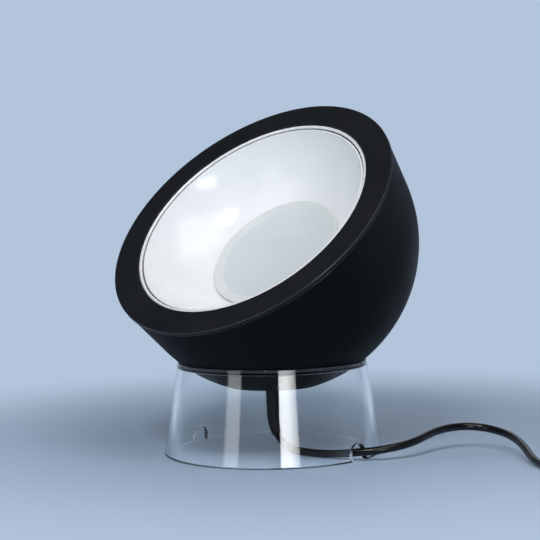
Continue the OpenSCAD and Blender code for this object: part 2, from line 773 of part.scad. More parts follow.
module terminal_screws() {
    low = block_mid_s - block_h / 2 + terminal_screw_sink;
    color("#c8b064") in_head() for (side = [-1, 1])
        translate([side * block_l / 4, -driver_w / 2 - block_w / 2, low])
            cylinder(r = terminal_screw_r, h = block_h / 2 - terminal_screw_sink);
}

// Two wires from the driver's side, between two fins, through the heat sink to the board's front
module led_wires() {
    start_y = -driver_w / 2 - 4 * fit;
    start_x = 0.7 * block_l;
    half = wire_hole_r / 2;
    low = fin_tip - 4 * wire_r;
    color("#b23a35") for (side = [-1, 1]) {
        leg = [
            [side * start_x, start_y, block_mid_s], [side * start_x, start_y - 4 * wire_r, block_mid_s],
            [side * start_x, (start_y + wire_hole_y) / 2, (block_mid_s + low) / 2],
            [side * 0.55 * block_l, wire_hole_y + 4 * wire_r, low],
            [side * block_l / 4, wire_hole_y, low + wire_r],
            [side * (half + wire_r), wire_hole_y, fin_tip + 4 * wire_r],
            [side * half, wire_hole_y, fin_tip + fin_h / 2],
            [side * half, wire_hole_y, sink_back], [side * half, wire_hole_y, board_front + wire_r / 2]];
        swept([for (p = leg) from_head(p)], 0, len(leg) - 1, wire_r, wire_r, [1, 0.2, 0], 8);
    }
}

// Lead from the boot's root through the gland and up to the terminal block
module lead_inner() {
    steps = 8;
    reach = 2 * lead_d;
    top = [0, 0, flat_z + gland_h];
    entry = from_head([0, -driver_w / 2 - block_w - fit, block_mid_s]);
    pull = from_head([0, -driver_w / 2 - block_w - reach, block_mid_s]);
    route = concat(
        [[0, 0, boot_top_z], [0, 0, flat_z + gland_h / 2]],
        [for (i = [0 : steps]) bezier(top, top + [0, 0, reach], pull, entry, i / steps)]);
    color("#17181b") swept(route, 0, len(route) - 1, lead_r, lead_r, [1, 0, 0]);
}

module cable_gland() {
    color("#1b1c20") difference() {
        union() {
            translate([0, 0, flat_z - gland_collar_t]) cylinder(r = gland_collar_r, h = gland_collar_t);
            translate([0, 0, flat_z - gland_collar_t]) cylinder(r = gland_r, h = gland_collar_t + gland_h);
        }
        translate([0, 0, flat_z - gland_collar_t - over])
            cylinder(r = lead_r + 2 * fit, h = gland_h + gland_collar_t + 2 * over);
    }
}

module gland_nut() {
    color("#24262a") difference() {
        translate([0, 0, flat_z + flat_plate + fit / 2]) cylinder(r = nut_r, h = nut_h, $fn = 6);
        translate([0, 0, flat_z + flat_plate - over]) cylinder(r = gland_r + fit, h = nut_h + 2 * over);
    }
}

module strain_relief() {
    color("#1a1b1e") swept(boot_path, 0, len(boot_path) - 1, boot_root_r, boot_tip_r, [0, 1, 0]);
}

module cord_drop() {
    color("#101114") swept(lead_route, 0, drop_last, lead_r, lead_r);
}

module cord_tube() {
    color("#101114") swept(lead_route, drop_last, len(lead_route) - 1, lead_r, lead_r);
}

module cord_tail() {
    color("#101114") {
        swept(tail_route, 0, len(tail_route) - 1, lead_r, lead_r);
        swept(end_route, 0, len(end_route) - 1, lead_r, lead_r);
    }
}

// Outer shape of the wound coil, lying on its two ties
module cord_coil() {
    color("#101114") translate([coil_mid[0], coil_mid[1], 0])
        band(coil_in_r - lead_r, coil_out_r + lead_r, tie_t, tie_t + coil_layers * lead_d + 2 * fit);
}

module coil_ties() {
    low = coil_in_r - lead_r - fit;
    high = coil_out_r + lead_r + fit;
    top = tie_t + coil_layers * lead_d + 3 * fit;
    color("#1d1e22") translate([coil_mid[0], coil_mid[1], 0]) for (a = tie_angles)
        rotate([0, 0, a]) difference() {
            translate([low - tie_t, -tie_w / 2, 0]) cube([high - low + 2 * tie_t, tie_w, top + tie_t]);
            translate([0, 0, tie_t]) band(low, high, 0, top - tie_t);
        }
}

module plug_relief() {
    color("#15161a") translate([plug_start[0], plug_start[1], plug_axis_z]) rotate([0, -90, 0])
        cylinder(r1 = lead_r + plug_relief_thin, r2 = lead_r + plug_relief_thick, h = plug_relief_l);
}

// Flat body, narrow at the lead and wide at the pins
module plug_body() {
    neck = lead_r + plug_relief_thick + edge_bevel;
    side = plug_w / 2;
    corner = side - plug_bevel;
    color("#15161a") translate([plug_start[0] - plug_relief_l, plug_start[1], plug_axis_z - plug_h / 2])
        linear_extrude(height = plug_h) polygon([
            [0, -neck], [0, neck], [-plug_l / 4, corner], [-plug_l / 2, side], [-plug_l + plug_bevel, side],
            [-plug_l, corner], [-plug_l, -corner], [-plug_l + plug_bevel, -side], [-plug_l / 2, -side],
            [-plug_l / 4, -corner]]);
}

module plug_pins() {
    root_x = plug_start[0] - plug_relief_l - plug_l;
    color("#c9ccd0") for (side = [-1, 1])
        translate([root_x, plug_start[1] + side * pin_spacing / 2, plug_axis_z])
            rotate([0, -90, 0]) cylinder(d = pin_d, h = pin_l);
}

module in_switch() {
    translate([switch_mid[0], switch_mid[1], 0]) children();
}

// Rectangle with round corners
module round_plan(l, w, r) {
    square([l - 2 * r, w], center = true);
    square([l, w - 2 * r], center = true);
    for (x = [-1, 1], y = [-1, 1]) translate([x * (l / 2 - r), y * (w / 2 - r)]) circle(r = r);
}

// Case half between two heights, with its cavity and the lead's two entries
module switch_half(low, high, hollow_low, hollow_high) {
    difference() {
        translate([0, 0, low]) linear_extrude(height = high - low)
            round_plan(switch_l, switch_w, switch_corner);
        translate([0, 0, hollow_low]) linear_extrude(height = hollow_high - hollow_low)
            round_plan(switch_l - 2 * switch_wall, switch_w - 2 * switch_wall, switch_corner - switch_wall);
        translate([0, 0, switch_h / 2]) rotate([0, 90, 0])
            cylinder(r = lead_r + 2 * fit, h = switch_l + 2 * over, center = true);
    }
}

// Places of the two case screws
module at_switch_screws() {
    x = switch_l / 2 - switch_screw_in;
    y = switch_w / 2 - switch_wall - switch_boss_r + over;
    for (side = [-1, 1]) translate([side * x, side * y, 0]) children();
}

module switch_lower() {
    half = switch_h / 2;
    color("#1a1b1f") in_switch() difference() {
        union() {
            switch_half(0, half, switch_wall, half + over);
            at_switch_screws() cylinder(r = switch_boss_r, h = half);
        }
        at_switch_screws() {
            translate([0, 0, -over]) cylinder(r = screw_r + 2 * screw_clear, h = half + 2 * over);
            translate([0, 0, -over]) cylinder(r = screw_head_r + fit, h = screw_head_h + over + fit);
        }
    }
}

module switch_upper() {
    half = switch_h / 2;
    window_l = rocker_l + 2 * rocker_clear;
    window_w = rocker_w + rocker_clear;
    cheek_low = rocker_pin_z - cheek_foot;
    cheek_top = switch_h - over;
    color("#1a1b1f") in_switch() difference() {
        union() {
            switch_half(half, switch_h, half - over, switch_h - switch_wall);
            at_switch_screws() translate([0, 0, half]) cylinder(r = switch_boss_r, h = half - over);
            for (side = [-1, 1])
                translate([0, side * (cheek_y + cheek_t / 2), (cheek_low + cheek_top) / 2])
                    cube([cheek_l, cheek_t, cheek_top - cheek_low], center = true);
        }
        translate([-window_l / 2, -window_w / 2, half]) cube([window_l, window_w, switch_h]);
        at_switch_screws() translate([0, 0, half - over])
            cylinder(r = screw_r + screw_clear, h = half - over);
        translate([0, 0, rocker_pin_z]) rotate([90, 0, 0])
            cylinder(r = rocker_pin_r + pin_clear, h = 2 * (cheek_y + cheek_t), center = true);
    }
}

module switch_screws() {
    color("#c8cacd") in_switch() at_switch_screws()
        translate([0, 0, screw_head_h]) rotate([180, 0, 0]) screw(switch_h - screw_head_h - 3 * over);
}

module switch_contacts() {
    color("#c8a24a") in_switch() for (side = [-1, 1]) {
        translate([side * contact_x - contact_l / 2, -contact_w / 2, switch_wall])
            cube([contact_l, contact_w, contact_t]);
        translate([side * 0.7 * contact_x, 0, switch_wall + contact_t]) cylinder(r = button_r, h = contact_t);
    }
}

module rocker_pin() {
    color("#c9ccd0") in_switch() translate([0, 0, rocker_pin_z]) rotate([90, 0, 0])
        cylinder(r = rocker_pin_r, h = 2 * (cheek_y + cheek_t) - fit, center = true);
}

// Rocker with a shallow valley along its top, lying on its pressed end
module switch_rocker() {
    rise = switch_h + rocker_rise - rocker_pin_z;
    valley = switch_h + rocker_valley - rocker_pin_z;
    end = rocker_l / 2;
    color("#26282d") in_switch() translate([0, 0, rocker_pin_z]) rotate([0, -rocker_tip, 0]) difference() {
        translate([0, rocker_w / 2, 0]) rotate([90, 0, 0]) linear_extrude(height = rocker_w) polygon([
            [-end, rise - rocker_bevel], [-end + rocker_bevel, rise], [0, valley], [end - rocker_bevel, rise],
            [end, rise - rocker_bevel], [end, 0], [rocker_foot, -rocker_foot],
            [-rocker_foot, -rocker_foot], [-end, 0]]);
        rotate([90, 0, 0]) cylinder(r = rocker_pin_r + pin_clear, h = rocker_w + 2 * over, center = true);
    }
}

glass_base();
seat_ring();
head_shell();
mouth_ring();
front_bezel();
bezel_clips();
trim_ring();
reflector();
reflector_screws();
diffuser();
diffuser_ring();
led_board();
led_chips();
thermal_pad();
heat_sink();
heat_sink_screws();
driver_case();
driver_lid();
driver_board();
driver_parts();
driver_screws();
terminal_block();
terminal_screws();
led_wires();
lead_inner();
cable_gland();
gland_nut();
strain_relief();
cord_drop();
cord_tube();
cord_tail();
cord_coil();
coil_ties();
plug_relief();
plug_body();
plug_pins();
switch_lower();
switch_upper();
switch_screws();
switch_contacts();
rocker_pin();
switch_rocker();
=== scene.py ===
"""Bowl table lamp in a clear glass ring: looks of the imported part, in metres, in the part's own frame."""
from math import asin, atan2, cos, pi, radians, sin, sqrt, tan

import bmesh
import bpy
from mathutils import Matrix, Vector


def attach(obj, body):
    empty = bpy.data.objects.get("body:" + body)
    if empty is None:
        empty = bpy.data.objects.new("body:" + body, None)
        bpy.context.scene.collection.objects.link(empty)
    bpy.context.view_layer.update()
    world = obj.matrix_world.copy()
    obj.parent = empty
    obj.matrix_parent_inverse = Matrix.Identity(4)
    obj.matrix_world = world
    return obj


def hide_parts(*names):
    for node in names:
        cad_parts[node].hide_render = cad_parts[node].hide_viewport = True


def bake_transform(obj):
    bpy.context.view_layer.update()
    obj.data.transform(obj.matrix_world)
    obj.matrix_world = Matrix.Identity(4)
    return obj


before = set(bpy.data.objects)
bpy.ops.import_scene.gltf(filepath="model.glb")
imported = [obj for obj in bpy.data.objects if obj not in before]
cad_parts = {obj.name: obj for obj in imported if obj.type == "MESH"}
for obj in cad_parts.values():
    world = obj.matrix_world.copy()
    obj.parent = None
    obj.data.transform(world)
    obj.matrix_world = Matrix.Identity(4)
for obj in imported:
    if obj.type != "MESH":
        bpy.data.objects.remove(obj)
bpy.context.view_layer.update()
MM = 0.001

# Sizes repeated from the part's source, in millimetres: head
FIT = 0.1
BOWL_R = 115.0
BOWL_WALL = 2.0
FLARE = radians(6)
LEAN = radians(45)
FLAT_DEPTH = 5.0
MOUTH_AHEAD = 33.5
BEZEL_W = 21.0
BEZEL_T = 3.0
BEZEL_OVERHANG = 0.6
GROOVE = 0.6
RING_SETBACK = 9.5
SKIRT_WALL = 1.8
TRIM_W = 2.7
TRIM_GAP = 0.8
TRIM_RECESS = 1.0
REFLECTOR_EDGE = 1.2
REFLECTOR_RECESS = 2.5
REFLECTOR_DEPTH = 44.0
REFLECTOR_HOLE_R = 53.8
REFLECTOR_SLOPE = radians(22)
REFLECTOR_WALL = 1.4
CLIP_GAP = 1.1
CLIP_BARB = 1.2
CLIP_T = 1.2
FLANGE_GAP = 2.5
FLANGE_T = 1.5
DIFFUSER_FACE_R = 45.8
DIFFUSER_RISE = 1.1
DIFFUSER_RIM_RISE = 3.0
DIFFUSER_RIM_W = 0.8
DIFFUSER_FLANGE_W = 6.2
DIFFUSER_FLANGE_T = 1.9

# Sizes repeated from the part's source, in millimetres: glass base and boot
FOOT_R = 84.6
RIM_R = 72.8
BASE_H = 71.0
GLASS_WALL = 4.5
NOTCH_W = 17.0
NOTCH_H = 12.5
SEAT_T = 1.0
SEAT_GAP = 0.25
LIP_W = 1.5
GLAND_COLLAR_T = 1.5
BOOT_L = 37.0
BOOT_STRAIGHT = 20.5
BOOT_BEND = 24.5
BOOT_HEADING = radians(-10)
BOOT_ROOT_R = 5.3
BOOT_TIP_R = 3.9

# Sizes repeated from the part's source, in millimetres: lead, coil, plug and switch
LEAD_R = 3.0
TIE_T = 0.9
TIE_W = 9.0
TIE_ANGLES = {"coil_tie_near": radians(60), "coil_tie_far": radians(240)}
COIL_OUT_R = 43.0
COIL_IN_R = 24.2
COIL_MID = (311.0, 100.0)
COIL_TURNS = 3
COIL_LAYERS = 2
PLUG_RELIEF_L = 30.0
PLUG_RELIEF_THIN = 0.5
PLUG_RELIEF_THICK = 2.5
PLUG_L = 38.0
PLUG_W = 31.0
PLUG_H = 16.0
PLUG_BEVEL = 2.0
EDGE_BEVEL = 0.5
SWITCH_MID = (289.0, 36.0)
SWITCH_L = 66.0
SWITCH_W = 26.0
SWITCH_H = 18.0
SWITCH_CORNER = 8.0
ROCKER_L = 20.4
ROCKER_W = 10.6
ROCKER_RISE = 2.0
ROCKER_TIP = radians(7)
ROCKER_CLEAR = 1.0
ROCKER_VALLEY = 0.4
ROCKER_PIN_DEPTH = 4.0
ROCKER_FOOT = 3.0


def flare_r(radius, along):
    """Radius of the flared mouth that touches a ball, at a place along the mouth's axis."""
    return radius / cos(FLARE) + along * tan(FLARE)


# Places worked out from them
LIP_SPHERE = BOWL_R + SEAT_GAP + FIT
SEAT_SPHERE = BOWL_R + 2 * SEAT_GAP + SEAT_T
BALL_Z = BASE_H + sqrt(LIP_SPHERE ** 2 - RIM_R ** 2)
FLAT_Z = BALL_Z - BOWL_R + FLAT_DEPTH
BOOT_TOP_Z = FLAT_Z - GLAND_COLLAR_T
BEZEL_BACK = MOUTH_AHEAD - BEZEL_T
LIP_S = BEZEL_BACK - GROOVE
RING_FRONT = MOUTH_AHEAD - RING_SETBACK
FLANGE_FRONT = RING_FRONT + FLANGE_T
REFLECTOR_FRONT = MOUTH_AHEAD - REFLECTOR_RECESS
HOLE_S = MOUTH_AHEAD - REFLECTOR_DEPTH
ROCKER_PIN_Z = SWITCH_H - ROCKER_PIN_DEPTH
BEZEL_R = flare_r(BOWL_R, LIP_S) + BEZEL_OVERHANG
BEZEL_IN_R = BEZEL_R - BEZEL_W
SKIRT_R = flare_r(BOWL_R - BOWL_WALL, RING_FRONT) - 3 * FIT
FLANGE_R = SKIRT_R - SKIRT_WALL - CLIP_GAP - CLIP_BARB - CLIP_T - FLANGE_GAP
PLUG_START = (284.0, COIL_MID[1] + COIL_OUT_R)
PLUG_AXIS_Z = PLUG_H / 2
COIL_LOW_Z = TIE_T + LEAD_R
COIL_HIGH_Z = COIL_LOW_Z + 2 * LEAD_R + FIT
HEAD_FRAME = Matrix.Translation((0, 0, BALL_Z)) @ Matrix.Rotation(LEAN, 4, "X")

# Way of the lead over the table to the switch, with the height of its underside, and on to coil and plug
FALL_END = (25.5, -4.5, LEAD_R)
FALL_REACH = 1.17 * 2 * LEAD_R
FALL_LIE = (1, -0.17, 0)
FALL_STEPS = 5
TABLE_WAY = [
    (25.5, -4.5, 0), (34, -5.7, 0), (43, -6.4, 0), (53, -6.5, 0.3), (64, -5, 1), (73, -3, 2), (81, 0, 3),
    (91, 6, 4), (99, 14, 5.5),
    (105, 25, 7), (108, 38, 9), (108, 52, 11), (108, 66, 12.5), (111, 80, 13.5), (118, 92, 13.5),
    (129, 99, 12.5), (142, 99, 11), (155, 94, 9.5), (167, 86, 7.5), (178, 76, 5.5), (188, 66, 3),
    (198, 56, 1), (208, 48, 0), (219, 41, 0), (231, 37, 1.5), (243, 36, 4.5), (254, 36, 6), (262, 36, 6)]
TAIL_X = COIL_MID[0] + COIL_OUT_R
TAIL_ROUTE = [
    (316, 36, 6 + LEAD_R), (325, 36, 6 + LEAD_R), (336, 38.5, 5 + LEAD_R), (345, 45, 3.5 + LEAD_R),
    (351, 54, 2 + LEAD_R), (TAIL_X, 66, COIL_LOW_Z), (TAIL_X, 82, COIL_LOW_Z)]
END_ROUTE = [
    (302, PLUG_START[1], 0.7 * COIL_HIGH_Z + 0.3 * PLUG_AXIS_Z),
    (294, PLUG_START[1], 0.2 * COIL_HIGH_Z + 0.8 * PLUG_AXIS_Z), (289, PLUG_START[1], PLUG_AXIS_Z),
    (PLUG_START[0] + FIT, PLUG_START[1], PLUG_AXIS_Z)]

# The part of a turn in which the coil climbs a layer
COIL_CLIMB = 0.25

# Camera, from a fit to the photograph's outlines
CAMERA_AT = (0.73571, -0.86241, 0.19360)
CAMERA_AZIMUTH = radians(40.47)
CAMERA_PITCH = radians(-2.70)
CAMERA_ROLL = radians(1.15)
CAMERA_LENS = 97.87
SENSOR = 36.0

# How finely meshes are made
SMOOTH_ANGLE = radians(38)
LONG_STRETCH = 2.5
HOLD = 0.12
NEAR = 0.01
CORNER_SHARE = 0.48
CORNER_STEPS = 5
FINE_CORNER_STEPS = 6
TURN_STEPS = 256
RELIEF_TURN_STEPS = 40
SHELL_STEPS = 96
BEAD_STEPS = 20
REFLECTOR_STEPS = 64
BOOT_STRAIGHT_STEPS = 12
BOOT_ARC_STEPS = 20
NOTCH_STEPS = 14
PLAIN_GLASS_STEPS = 60
COIL_STEPS = 36
LEAD_STEPS = 8
TAIL_STEPS = 6
TURN_SPLITS = 2
LEAD_SIDES = 24
TAIL_SIDES = 16
BOOT_SIDES = 28

# Round edges of the head's pieces, and the width and depth of the lip's glossier band painted lighter as a
# highlight, in millimetres
SOFT_EDGE = 0.3
LIP_ROUND = 0.5
LIP_IN_ROUND = 0.4
LIP_REACH = 12.0
LIP_HIGHLIGHT_W = 0.7
LIP_HIGHLIGHT_DEPTH = 0.45
BEZEL_ROUND = 0.5
BEZEL_FRONT_ROUND = 0.55
BEAD_CLEAR = 0.05
REFLECTOR_EDGE_DROP = 0.5
REFLECTOR_EDGE_IN = 0.4
DISH_ROUND = 2.0
DISH_RIM_ROUND = 0.5
DISH_FLANGE_ROUND = 0.2
BOOT_TIP_CUT = 0.5
BOOT_TIP_EASE = 0.12

# Round edges of the glass, the height and width of the foot's band painted dark as contact shade, and the
# notch's feet as (beside the notch, height) points
FOOT_ROUND = 0.8
RIM_ROUND = 0.4
LIP_EDGE_ROUND = 0.3
RECESS_ROUND = 0.9
FOOT_SHADE_Z = 0.85
FOOT_SHADE_W = 2.6
NOTCH_FEET = ((0.02, 1.4), (0.12, 0.75), (0.4, 0.3), (0.8, 0.08), (1.3, 0.0))

# Round edges on the lead's pieces; levels are (distance, inset) pairs from the foot, the seam or the top
TIE_ROUND = 3.0
TIE_OUT_ROUND = 3.4
SWITCH_FOOT = ((0, 1.8), (0.5, 0.7), (1.6, 0))
SWITCH_SEAM = ((0.5, 0), (0.05, 0.35))
SWITCH_CROWN = ((2.4, 0), (0.9, 0.7), (0.2, 2), (0, 3.2))
WINDOW_ROUND = 1.2
WINDOW_CORNER_STEPS = 4
SWITCH_CORNER_STEPS = 8
WELL_DEPTH = 5.0
ROCKER_END_ROUND = 0.9
ROCKER_VALLEY_ROUND = 6.0
ROCKER_FOOT_ROUND = 1.0
ROCKER_SIDE_ROUND = 0.35
ROCKER_SIDE_SHRINK = 0.94
PLUG_EDGE = ((0, 2.4), (0.7, 0.9), (2.2, 0))
PLUG_NECK_ROUND = 3.0
PLUG_SHOULDER_ROUND = 8.0
PLUG_SIDE_ROUND = 12.0
PLUG_FACE_ROUND = 2.5
RIB_COUNT = 7
RIB_FORM = ((0.0, 0.0), (0.55, 0.0), (0.62, 0.7), (0.92, 0.7))
RIB_LEAST = 0.4

# Noise in materials, and the bump of a grain
METAL_PATCH = 7.0
NOISE_ROUGH = 0.55
NOISE_LOW = 0.35
NOISE_HIGH = 0.65
GRAIN_BUMP = 0.6

# Backdrop, floor and light, in metres; the backdrop dims by a (start, end, least) rule in reflections
BACKDROP = (0.45, 0.555, 0.705)
BACKDROP_REFLECTED = 0.65
DIM_ABOVE = (0.12, 0.6, 0.2)
DIM_FACING = (0.0, 0.7, 0.1)
AMBIENT = (0.86, 0.92, 1.0)
AMBIENT_STRENGTH = 0.15
FLOOR_REACH = 6.0
FLOOR_DROP = 0.0002
FLOOR_PATCH = 1 / 3
FLOOR_DARK = (0.395, 0.515, 0.68)
FLOOR_LIGHT = (0.41, 0.53, 0.695)
POOL_BACK = 0.1
POOL_RIGHT = 0.03
FADE_START = 0.15
FADE_END = 0.48
LIGHT_AIM = Vector((0, 0, 0.12))
SOFT_WHITE = (0.97, 0.985, 1.0)
PANEL_WHITE = (0.98, 0.99, 1.0)
COOL_WHITE = (0.95, 0.97, 1.0)
PANEL_SHARES = (
    (0.0, 0.15), (0.07, 0.8), (0.25, 1.0), (0.5, 0.93), (0.8, 0.56), (0.93, 0.42), (1.0, 0.1))


# Mesh helpers

def finish_mesh(bm, name, material, body, nodes=(), second=None):
    """Turns a bmesh in millimetres into a shaded piece in metres that rides on a body."""
    bmesh.ops.recalc_face_normals(bm, faces=bm.faces)
    mesh = bpy.data.meshes.new(name)
    bm.to_mesh(mesh)
    bm.free()
    mesh.transform(Matrix.Scale(MM, 4))
    mesh.shade_smooth()
    mesh.set_sharp_from_angle(angle=SMOOTH_ANGLE)
    piece = bpy.data.objects.new(name, mesh)
    bpy.context.scene.collection.objects.link(piece)
    piece.data.materials.append(material)
    if second:
        piece.data.materials.append(second)
    if body:
        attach(piece, body)
    if nodes:
        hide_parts(*nodes)
    return piece


def mark_head_faces(bm, test):
    """Gives the second material to faces whose radius and place along the head's axis pass a test."""
    to_head = HEAD_FRAME.inverted()
    for face in bm.faces:
        place = to_head @ face.calc_center_median()
        if test(place.xy.length, place.z):
            face.material_index = 1


def join_loops(bm, a, b):
    """Quads between two closed rows of vertices of the same length; a row of one vertex makes a fan."""
    count = max(len(a), len(b))
    for i in range(count):
        j = (i + 1) % count
        if len(a) == 1:
            bm.faces.new((a[0], b[i], b[j]))
        elif len(b) == 1:
            bm.faces.new((a[i], b[0], a[j]))
        else:
            bm.faces.new((a[i], b[i], b[j], a[j]))


def held(points, closed):
    """Adds a point near each end of a long straight stretch, so that it stays flat between round corners."""
    out = []
    pairs = list(zip(points, points[1:]))
    if closed:
        pairs.append((points[-1], points[0]))
    for first, last in pairs:
        start, end = Vector(first), Vector(last)
        stretch = end - start
        out.append(tuple(start))
        if stretch.length > LONG_STRETCH:
            hold = stretch.normalized() * HOLD
            out += [tuple(p) for p in (start + hold, end - hold) if p.x > 2 * HOLD]
    return out if closed else out + [tuple(points[-1])]


def lathe(profile, turn_frame, steps=TURN_STEPS, closed=False):
    """Bmesh of a profile of (radius, place along the axis) points, turned about a frame's Z axis."""
    bm = bmesh.new()
    turns = [2 * pi * k / steps for k in range(steps)]
    rows = []
    for radius, along in held(profile, closed):
        on_axis = radius < NEAR
        rows.append([
            bm.verts.new(turn_frame @ Vector((radius * cos(turn), radius * sin(turn), along)))
            for turn in (turns[:1] if on_axis else turns)])
    pairs = list(zip(rows, rows[1:]))
    if closed:
        pairs.append((rows[-1], rows[0]))
    for a, b in pairs:
        join_loops(bm, a, b)
    return bm


def rounded(points, radii, closed=True, steps=CORNER_STEPS):
    """Polygon whose corners are replaced by arcs of the given radii, or of one radius."""
    out = []
    count = len(points)
    for i, point in enumerate(points):
        radius = radii[i] if isinstance(radii, (list, tuple)) else radii
        if radius <= 0 or (not closed and i in (0, count - 1)):
            out.append(tuple(point))
            continue
        corner = Vector(point)
        before = Vector(points[i - 1]) - corner
        after = Vector(points[(i + 1) % count]) - corner
        half = before.angle(after) / 2
        cut = min(radius / tan(half), CORNER_SHARE * before.length, CORNER_SHARE * after.length)
        radius = cut * tan(half)
        u, v = before.normalized(), after.normalized()
        centre = corner + (u + v).normalized() * (radius / sin(half))
        first, last = corner + u * cut - centre, corner + v * cut - centre
        swing = first.angle(last)
        for k in range(steps + 1):
            t = k / steps
            step = (first * sin((1 - t) * swing) + last * sin(t * swing)) / sin(swing)
            out.append(tuple(centre + step))
    return out


def arc_points(centre, radius, start, end, steps):
    """Points on an arc from angle start to angle end."""
    angles = [start + (end - start) * k / steps for k in range(steps + 1)]
    return [(centre[0] + radius * cos(angle), centre[1] + radius * sin(angle)) for angle in angles]


def smooth_path(points, per):
    """Catmull-Rom curve through given points, with some steps per stretch."""
    knots = [Vector(p) for p in points]
    ends = [knots[0] * 2 - knots[1]] + knots + [knots[-1] * 2 - knots[-2]]
    path = []
    for a, b, c, d in zip(ends, ends[1:], ends[2:], ends[3:]):
        for k in range(per):
            t = k / per
            path.append(0.5 * (2 * b + (c - a) * t + (2 * a - 5 * b + 4 * c - d) * t * t
                               + (3 * b - a - 3 * c + d) * t ** 3))
    path.append(knots[-1])
    return path


def closed_rows(bm, rows):
    """Joins rows of vertices one after another and closes both ends."""
    for a, b in zip(rows, rows[1:]):
        join_loops(bm, a, b)
    bm.faces.new(rows[0])
    bm.faces.new(rows[-1])
    return bm


def sweep(path, radii, sides):
    """Bmesh of a closed tube along a path, with a radius for each point and no twist."""
    bm = bmesh.new()
    turns = [2 * pi * k / sides for k in range(sides)]
    side = None
    rows = []
    for i, point in enumerate(path):
        ahead = (path[min(i + 1, len(path) - 1)] - path[max(i - 1, 0)]).normalized()
        if side is None:
            side = ahead.orthogonal().normalized()
        side = (side - ahead * side.dot(ahead)).normalized()
        up = ahead.cross(side)
        rows.append([bm.verts.new(point + radii[i] * (cos(turn) * side + sin(turn) * up)) for turn in turns])
    return closed_rows(bm, rows)


def loft(outlines):
    """Bmesh of a closed form through closed outlines of the same number of points."""
    bm = bmesh.new()
    return closed_rows(bm, [[bm.verts.new(p) for p in outline] for outline in outlines])


def round_plan(length, width, radius, steps):
    """Outline of a rectangle with round corners, about the origin."""
    x, y = length / 2, width / 2
    return rounded([(-x, -y), (x, -y), (x, y), (-x, y)], radius, steps=steps)


def boxed(outline, levels, place):
    """Outlines of a soft-edged slab about a place: each level is a height and an inset."""
    length = max(p[0] for p in outline)
    width = max(p[1] for p in outline)
    rows = []
    for z, inset in levels:
        scale_x = 1 - inset / length
        scale_y = 1 - inset / width
        rows.append([(place[0] + x * scale_x, place[1] + y * scale_y, z) for x, y in outline])
    return rows


# Node and material helpers

def add_node(tree, kind, inputs=None, **settings):
    """Adds a node to a tree. Each input is a socket to link or a value to set."""
    node = tree.nodes.new(kind)
    for key, value in settings.items():
        setattr(node, key, value)
    for key, value in (inputs or {}).items():
        if isinstance(value, bpy.types.NodeSocket):
            tree.links.new(value, node.inputs[key])
        else:
            node.inputs[key].default_value = value
    return node


def calculate(tree, operation, first, second):
    """Result of a Math node."""
    return add_node(tree, "ShaderNodeMath", {0: first, 1: second}, operation=operation).outputs[0]


class Shader:
    """A Principled material with a few node shortcuts; textures are in object space, in metres."""

    def __init__(self, name, **sockets):
        self.material = bpy.data.materials.new(name)
        self.material.use_nodes = True
        self.tree = self.material.node_tree
        self.bsdf = self.tree.nodes["Principled BSDF"]
        self.place = add_node(self.tree, "ShaderNodeTexCoord").outputs["Object"]
        for socket, value in sockets.items():
            self.bsdf.inputs[socket.replace("_", " ")].default_value = value

    def noise(self, size, detail=3.0):
        return add_node(self.tree, "ShaderNodeTexNoise", {
            "Vector": self.place, "Scale": 1 / size, "Detail": detail, "Roughness": NOISE_ROUGH,
        }).outputs["Fac"]

    def spread(self, noise, low, high):
        return add_node(self.tree, "ShaderNodeMapRange", {
            "Value": noise, "From Min": NOISE_LOW, "From Max": NOISE_HIGH, "To Min": low, "To Max": high,
        }).outputs["Result"]

    def colour(self, noise, dark, light):
        mixed = add_node(self.tree, "ShaderNodeMix", {
            "Factor": self.spread(noise, 0.0, 1.0), "A": (*dark, 1), "B": (*light, 1)}, data_type="RGBA")
        self.drive("Base Color", mixed.outputs["Result"])

    def roughness(self, noise, least, most):
        self.drive("Roughness", self.spread(noise, least, most))

    def bump(self, height, strength, depth):
        bumped = add_node(self.tree, "ShaderNodeBump", {
            "Height": height, "Strength": strength, "Distance": depth})
        self.drive("Normal", bumped.outputs["Normal"])

    def drive(self, socket, value):
        self.tree.links.new(value, self.bsdf.inputs[socket])


def grained(name, dark, light, rough, grain_mm, depth_mm, patch_mm=40.0, **sockets):
    """Surface with a fine raised grain, and slow patches of colour and roughness."""
    s = Shader(name, **sockets)
    grain = s.noise(grain_mm * MM, detail=2.0)
    patch = s.noise(patch_mm * MM, detail=4.0)
    s.colour(patch, dark, light)
    s.roughness(patch, *rough)
    s.bump(grain, GRAIN_BUMP, depth_mm * MM)
    return s.material


def metal(name, dark, light, rough):
    """Bare metal with small patches of colour and roughness."""
    s = Shader(name, Metallic=1.0)
    patch = s.noise(METAL_PATCH * MM, detail=4.0)
    s.colour(patch, dark, light)
    s.roughness(patch, *rough)
    return s.material


# Materials of the head

def matte_black_paint():
    return grained(
        "matte_black_paint", dark=(0.0030, 0.0032, 0.0040), light=(0.0042, 0.0045, 0.0055),
        rough=(0.46, 0.56), grain_mm=0.45, depth_mm=0.02, patch_mm=55, Specular_IOR_Level=0.08)


def satin_black_paint():
    return grained(
        "satin_black_paint", dark=(0.0092, 0.0100, 0.0122), light=(0.0115, 0.0124, 0.0150),
        rough=(0.36, 0.46), grain_mm=0.35, depth_mm=0.012, patch_mm=48, Specular_IOR_Level=0.18)


# Glossier edge band whose colour is also painted lighter than the paint beside it: a painted highlight line
def edge_painted_highlight():
    return grained(
        "edge_painted_highlight", dark=(0.015, 0.016, 0.018), light=(0.024, 0.025, 0.028), rough=(0.2, 0.3),
        grain_mm=0.5, depth_mm=0.004, patch_mm=30, Specular_IOR_Level=0.5)


# Near-black paint on the reflector's outer edge and flange: painted shade for the gap behind the trim
def gap_painted_shade():
    return grained(
        "gap_painted_shade", dark=(0.012, 0.013, 0.015), light=(0.018, 0.019, 0.021), rough=(0.6, 0.7),
        grain_mm=0.5, depth_mm=0.01, patch_mm=12, Specular_IOR_Level=0.2)


